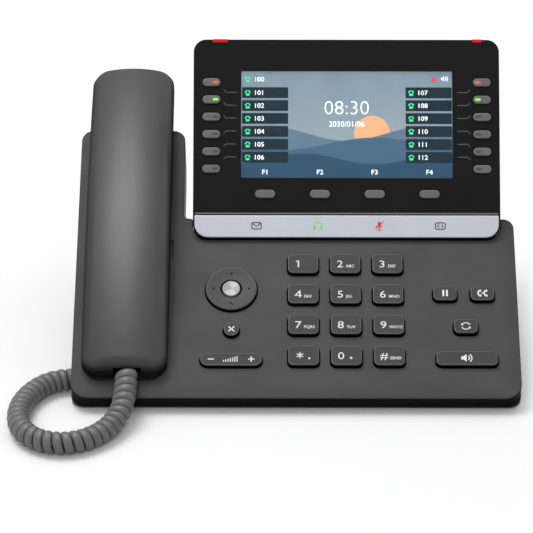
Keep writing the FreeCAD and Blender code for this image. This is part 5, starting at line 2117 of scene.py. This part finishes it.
    def tube(self, name: str, wire: list[Vector], away: list[Vector], halves: list[float]) -> bpy.types.Object:
        """A closed tube of flat oval section along part of the wire.

        Args:
            name: Name of the piece.
            wire: Middle line of the wire.
            away: Direction away from the coil's middle at each point.
            halves: Half the width at each point.

        Returns:
            The piece.
        """
        points: list[Vector] = []
        faces: list[tuple[int, ...]] = []
        count = self.sides
        for index, (here, out, half) in enumerate(zip(wire, away, halves)):
            ahead = (wire[min(index + 1, len(wire) - 1)] - wire[max(index - 1, 0)]).normalized()
            across = ahead.cross(out).normalized()
            up = across.cross(ahead)
            for side in range(count):
                turn = math.tau * side / count
                rise = self.thick / 2 * MM * math.cos(turn)
                points.append(here + up * rise + across * (half * math.sin(turn)))
        last = (len(wire) - 1) * count
        for ring in range(0, last, count):
            for side in range(count):
                there = (side + 1) % count
                faces.append((ring + side, ring + there, ring + count + there, ring + count + side))
        faces += [tuple(range(count))[::-1], tuple(range(last, last + count))]
        mesh = bpy.data.meshes.new(name)
        mesh.from_pydata(points, [], faces)
        mended(mesh, SAME_POINT * MM)
        mesh.materials.append(CORD_JACKET.material())
        mesh.shade_smooth()
        return linked(name, mesh)


# Studio

@dataclass(frozen=True)
class Lamp:
    """A square soft box, for the light on dull surfaces, for the gloss on shiny ones, or for both."""

    name: str
    place: Triple
    aim: Triple
    size: float
    power: float
    lights: bool = True
    shines: bool = True

    def build(self) -> None:
        """The lamp, turned to its aim."""
        light = bpy.data.lights.new(self.name, "AREA")
        light.size = self.size
        light.energy = self.power
        made = linked(self.name, light)
        made.location = self.place
        made.rotation_euler = (Vector(self.aim) - Vector(self.place)).to_track_quat("-Z", "Y").to_euler()
        made.visible_diffuse = self.lights
        made.visible_glossy = self.shines


@dataclass(frozen=True)
class Studio:
    """White floor, soft light and the camera at the photograph's angle, in metres.

    Attributes:
        paper_back: Grey of the floor for the light that it sends back to the telephone.
        paper_seen: Grey of the floor where its shadow is seen, and paper_gain is added to it.
        sky_low: Upward share of a direction up to which the light is that of the horizon.
        rear_from: Backward share of a direction from which light from behind is added.
    """

    camera_at: Triple = (-0.010852, -1.403706, 0.784234)
    lens: float = 200.92
    elevation: float = 28.0
    yaw: float = 0.00334018
    paper_back: float = 0.35
    paper_seen: float = 0.96
    paper_gain: float = 0.04
    floor_lift: float = 0.02
    floor_radius: float = 6.0
    floor_sides: int = 72
    shadow_middle: Triple = (-0.03, -0.07, 0.0)
    shadow_shape: Triple = (1.25, 1.0, 1.0)
    shadow_reach: float = 0.12
    white_from: float = 0.22
    shadow_side: float = 0.108
    side_fade: float = 0.035
    sky_low: float = 0.1
    horizon: float = 0.1
    zenith: float = 0.72
    rear_from: float = 0.2
    rear_fill: float = 0.4
    lamps: tuple[Lamp, ...] = (
        Lamp("lamp_above", (-0.48, 0.15, 1.43), (-0.02, 0.0, 0.05), 0.72, 9.0, shines=False),
        Lamp("lamp_shine", (-0.22, 0.15, 1.47), (-0.02, 0.0, 0.05), 0.72, 8.6, lights=False),
        Lamp("lamp_front", (-0.3, -1.5, 1.0), (0.0, 0.0, 0.08), 0.6, 6.0, shines=False),
    )

    def build(self) -> None:
        """Floor, lamps, surroundings and camera."""
        self.floor()
        for lamp in self.lamps:
            lamp.build()
        self.surroundings()
        self.camera()

    def floor(self) -> None:
        """A pale floor that sweeps up into a white wall all round, and keeps the shadow."""
        mesh = bpy.data.meshes.new("floor")
        sides, sweep = self.floor_sides, 1.0
        turns = [math.tau * step / sides for step in range(sides)]
        rings = [(self.floor_radius + sweep * math.sin(bend), sweep * (1.0 - math.cos(bend)))
                 for bend in (0.0, 0.4, 0.8, 1.2, math.pi / 2)]
        rings.append((self.floor_radius + sweep, 1.3))
        points = [(far * math.cos(turn), far * math.sin(turn), high) for far, high in rings for turn in turns]
        faces = [tuple(range(sides))]
        for low in range(0, sides * (len(rings) - 1), sides):
            for here in range(sides):
                there = (here + 1) % sides
                faces.append((low + sides + here, low + sides + there, low + there, low + here))
        mesh.from_pydata(points, [], faces)
        mesh.materials.append(self.paper())
        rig.stage(linked("floor", mesh))

    def paper(self) -> bpy.types.Material:
        """The floor's paper: white where it is seen, but for the shadow round the telephone.

        Returns:
            The material.
        """
        made = bpy.data.materials.new("floor_paper")
        made.use_nodes = True
        wiring = Wiring(made.node_tree, Family.SHADER)
        nodes = wiring.tree.nodes
        nodes.remove(nodes["Principled BSDF"])
        back, seen, gain = [wiring.add("BsdfDiffuse", (level, level, level, 1.0))
                            for level in (self.paper_back, self.paper_seen, self.paper_gain)]
        dim = wiring.add("AddShader", seen, gain)
        white = wiring.add("Emission", Strength=1.0)
        coords = wiring.add("TexCoord").outputs["Object"]
        about = wiring.add("Mapping", vector_type="TEXTURE", Vector=coords,
                           Location=self.shadow_middle, Scale=self.shadow_shape)
        far = wiring.add("VectorMath", about, operation="LENGTH")
        fade = wiring.add("MapRange", interpolation_type="SMOOTHSTEP", Value=far.outputs["Value"],
                          From_Min=self.shadow_reach, From_Max=self.white_from, To_Min=self.floor_lift)
        parts = wiring.add("SeparateXYZ", coords)
        beside = wiring.add("MapRange", interpolation_type="SMOOTHSTEP", Value=parts.outputs["X"],
                            From_Min=self.shadow_side, From_Max=self.shadow_side + self.side_fade)
        most = wiring.add("Math", fade, beside, operation="MAXIMUM")
        face = wiring.add("MixShader", most, dim,
                          white)
        rays = wiring.add("LightPath").outputs
        shows = rays["Is Camera Ray"]
        for ray in ("Is Glossy Ray", "Is Transmission Ray"):
            shows = wiring.add("Math", shows, rays[ray], operation="MAXIMUM")
        pick = wiring.add("MixShader", shows, back, face)
        wiring.feed(nodes["Material Output"].inputs["Surface"], pick)
        return made

    def surroundings(self) -> None:
        """White light from all round, most of it from overhead and behind."""
        world = bpy.data.worlds.new("surroundings")
        world.use_nodes = True
        wiring = Wiring(world.node_tree, Family.SHADER)
        coords = wiring.add("TexCoord").outputs["Generated"]
        parts = wiring.add("SeparateXYZ", coords).outputs
        bright = wiring.add("MapRange", interpolation_type="SMOOTHSTEP", Value=parts["Z"],
                            From_Min=self.sky_low, To_Min=self.horizon, To_Max=self.zenith)
        behind = wiring.add("MapRange", Value=parts["Y"], From_Min=self.rear_from,
                            To_Max=self.rear_fill)
        both = wiring.add("Math", bright, behind, operation="ADD")
        sky = wiring.tree.nodes["Background"]
        wiring.feed(sky.inputs["Color"], (1.0, 1.0, 1.0, 1.0))
        wiring.feed(sky.inputs["Strength"], both)
        bpy.context.scene.world = world

    def camera(self) -> None:
        """The camera, solved from the photograph."""
        data = bpy.data.cameras.new("camera")
        data.lens = self.lens
        data.sensor_width = 36.0
        data.clip_end = 20.0
        made = linked("camera", data)
        made.location = self.camera_at
        rise = math.radians(self.elevation)
        level = math.cos(rise)
        ahead = Vector((-math.sin(self.yaw) * level, math.cos(self.yaw) * level, -math.sin(rise)))
        made.rotation_euler = ahead.to_track_quat("-Z", "Y").to_euler()
        scene = bpy.context.scene
        scene.camera = made
        scene.view_settings.view_transform = "Standard"


def dress_frame() -> None:
    """Gives every CAD node that stays in view its finish."""
    for name, node in frame["nodes"].items():
        finish = CAD_FINISHES.get(name)
        if finish is None:
            continue
        node.data.materials.clear()
        node.data.materials.append(finish.material())
        LOG.info("%s takes %s", name, finish.name)


def main() -> None:
    """Builds the telephone and its studio."""
    logging.basicConfig(level=logging.INFO, format="%(message)s")
    keypad = Keypad()
    dress_frame()
    Handset().build()
    CurlyCord().build()
    Base().build(keypad)
    keypad.build()
    Panel().build()
    Studio().build()
    sizes = {"cad": [list(corner) for corner in BOUNDS_OF_CAD], "looks": [list(corner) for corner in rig.bounds()]}
    with open("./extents.json", "w") as out:
        json.dump(sizes, out)


if __name__ == "__main__":
    main()
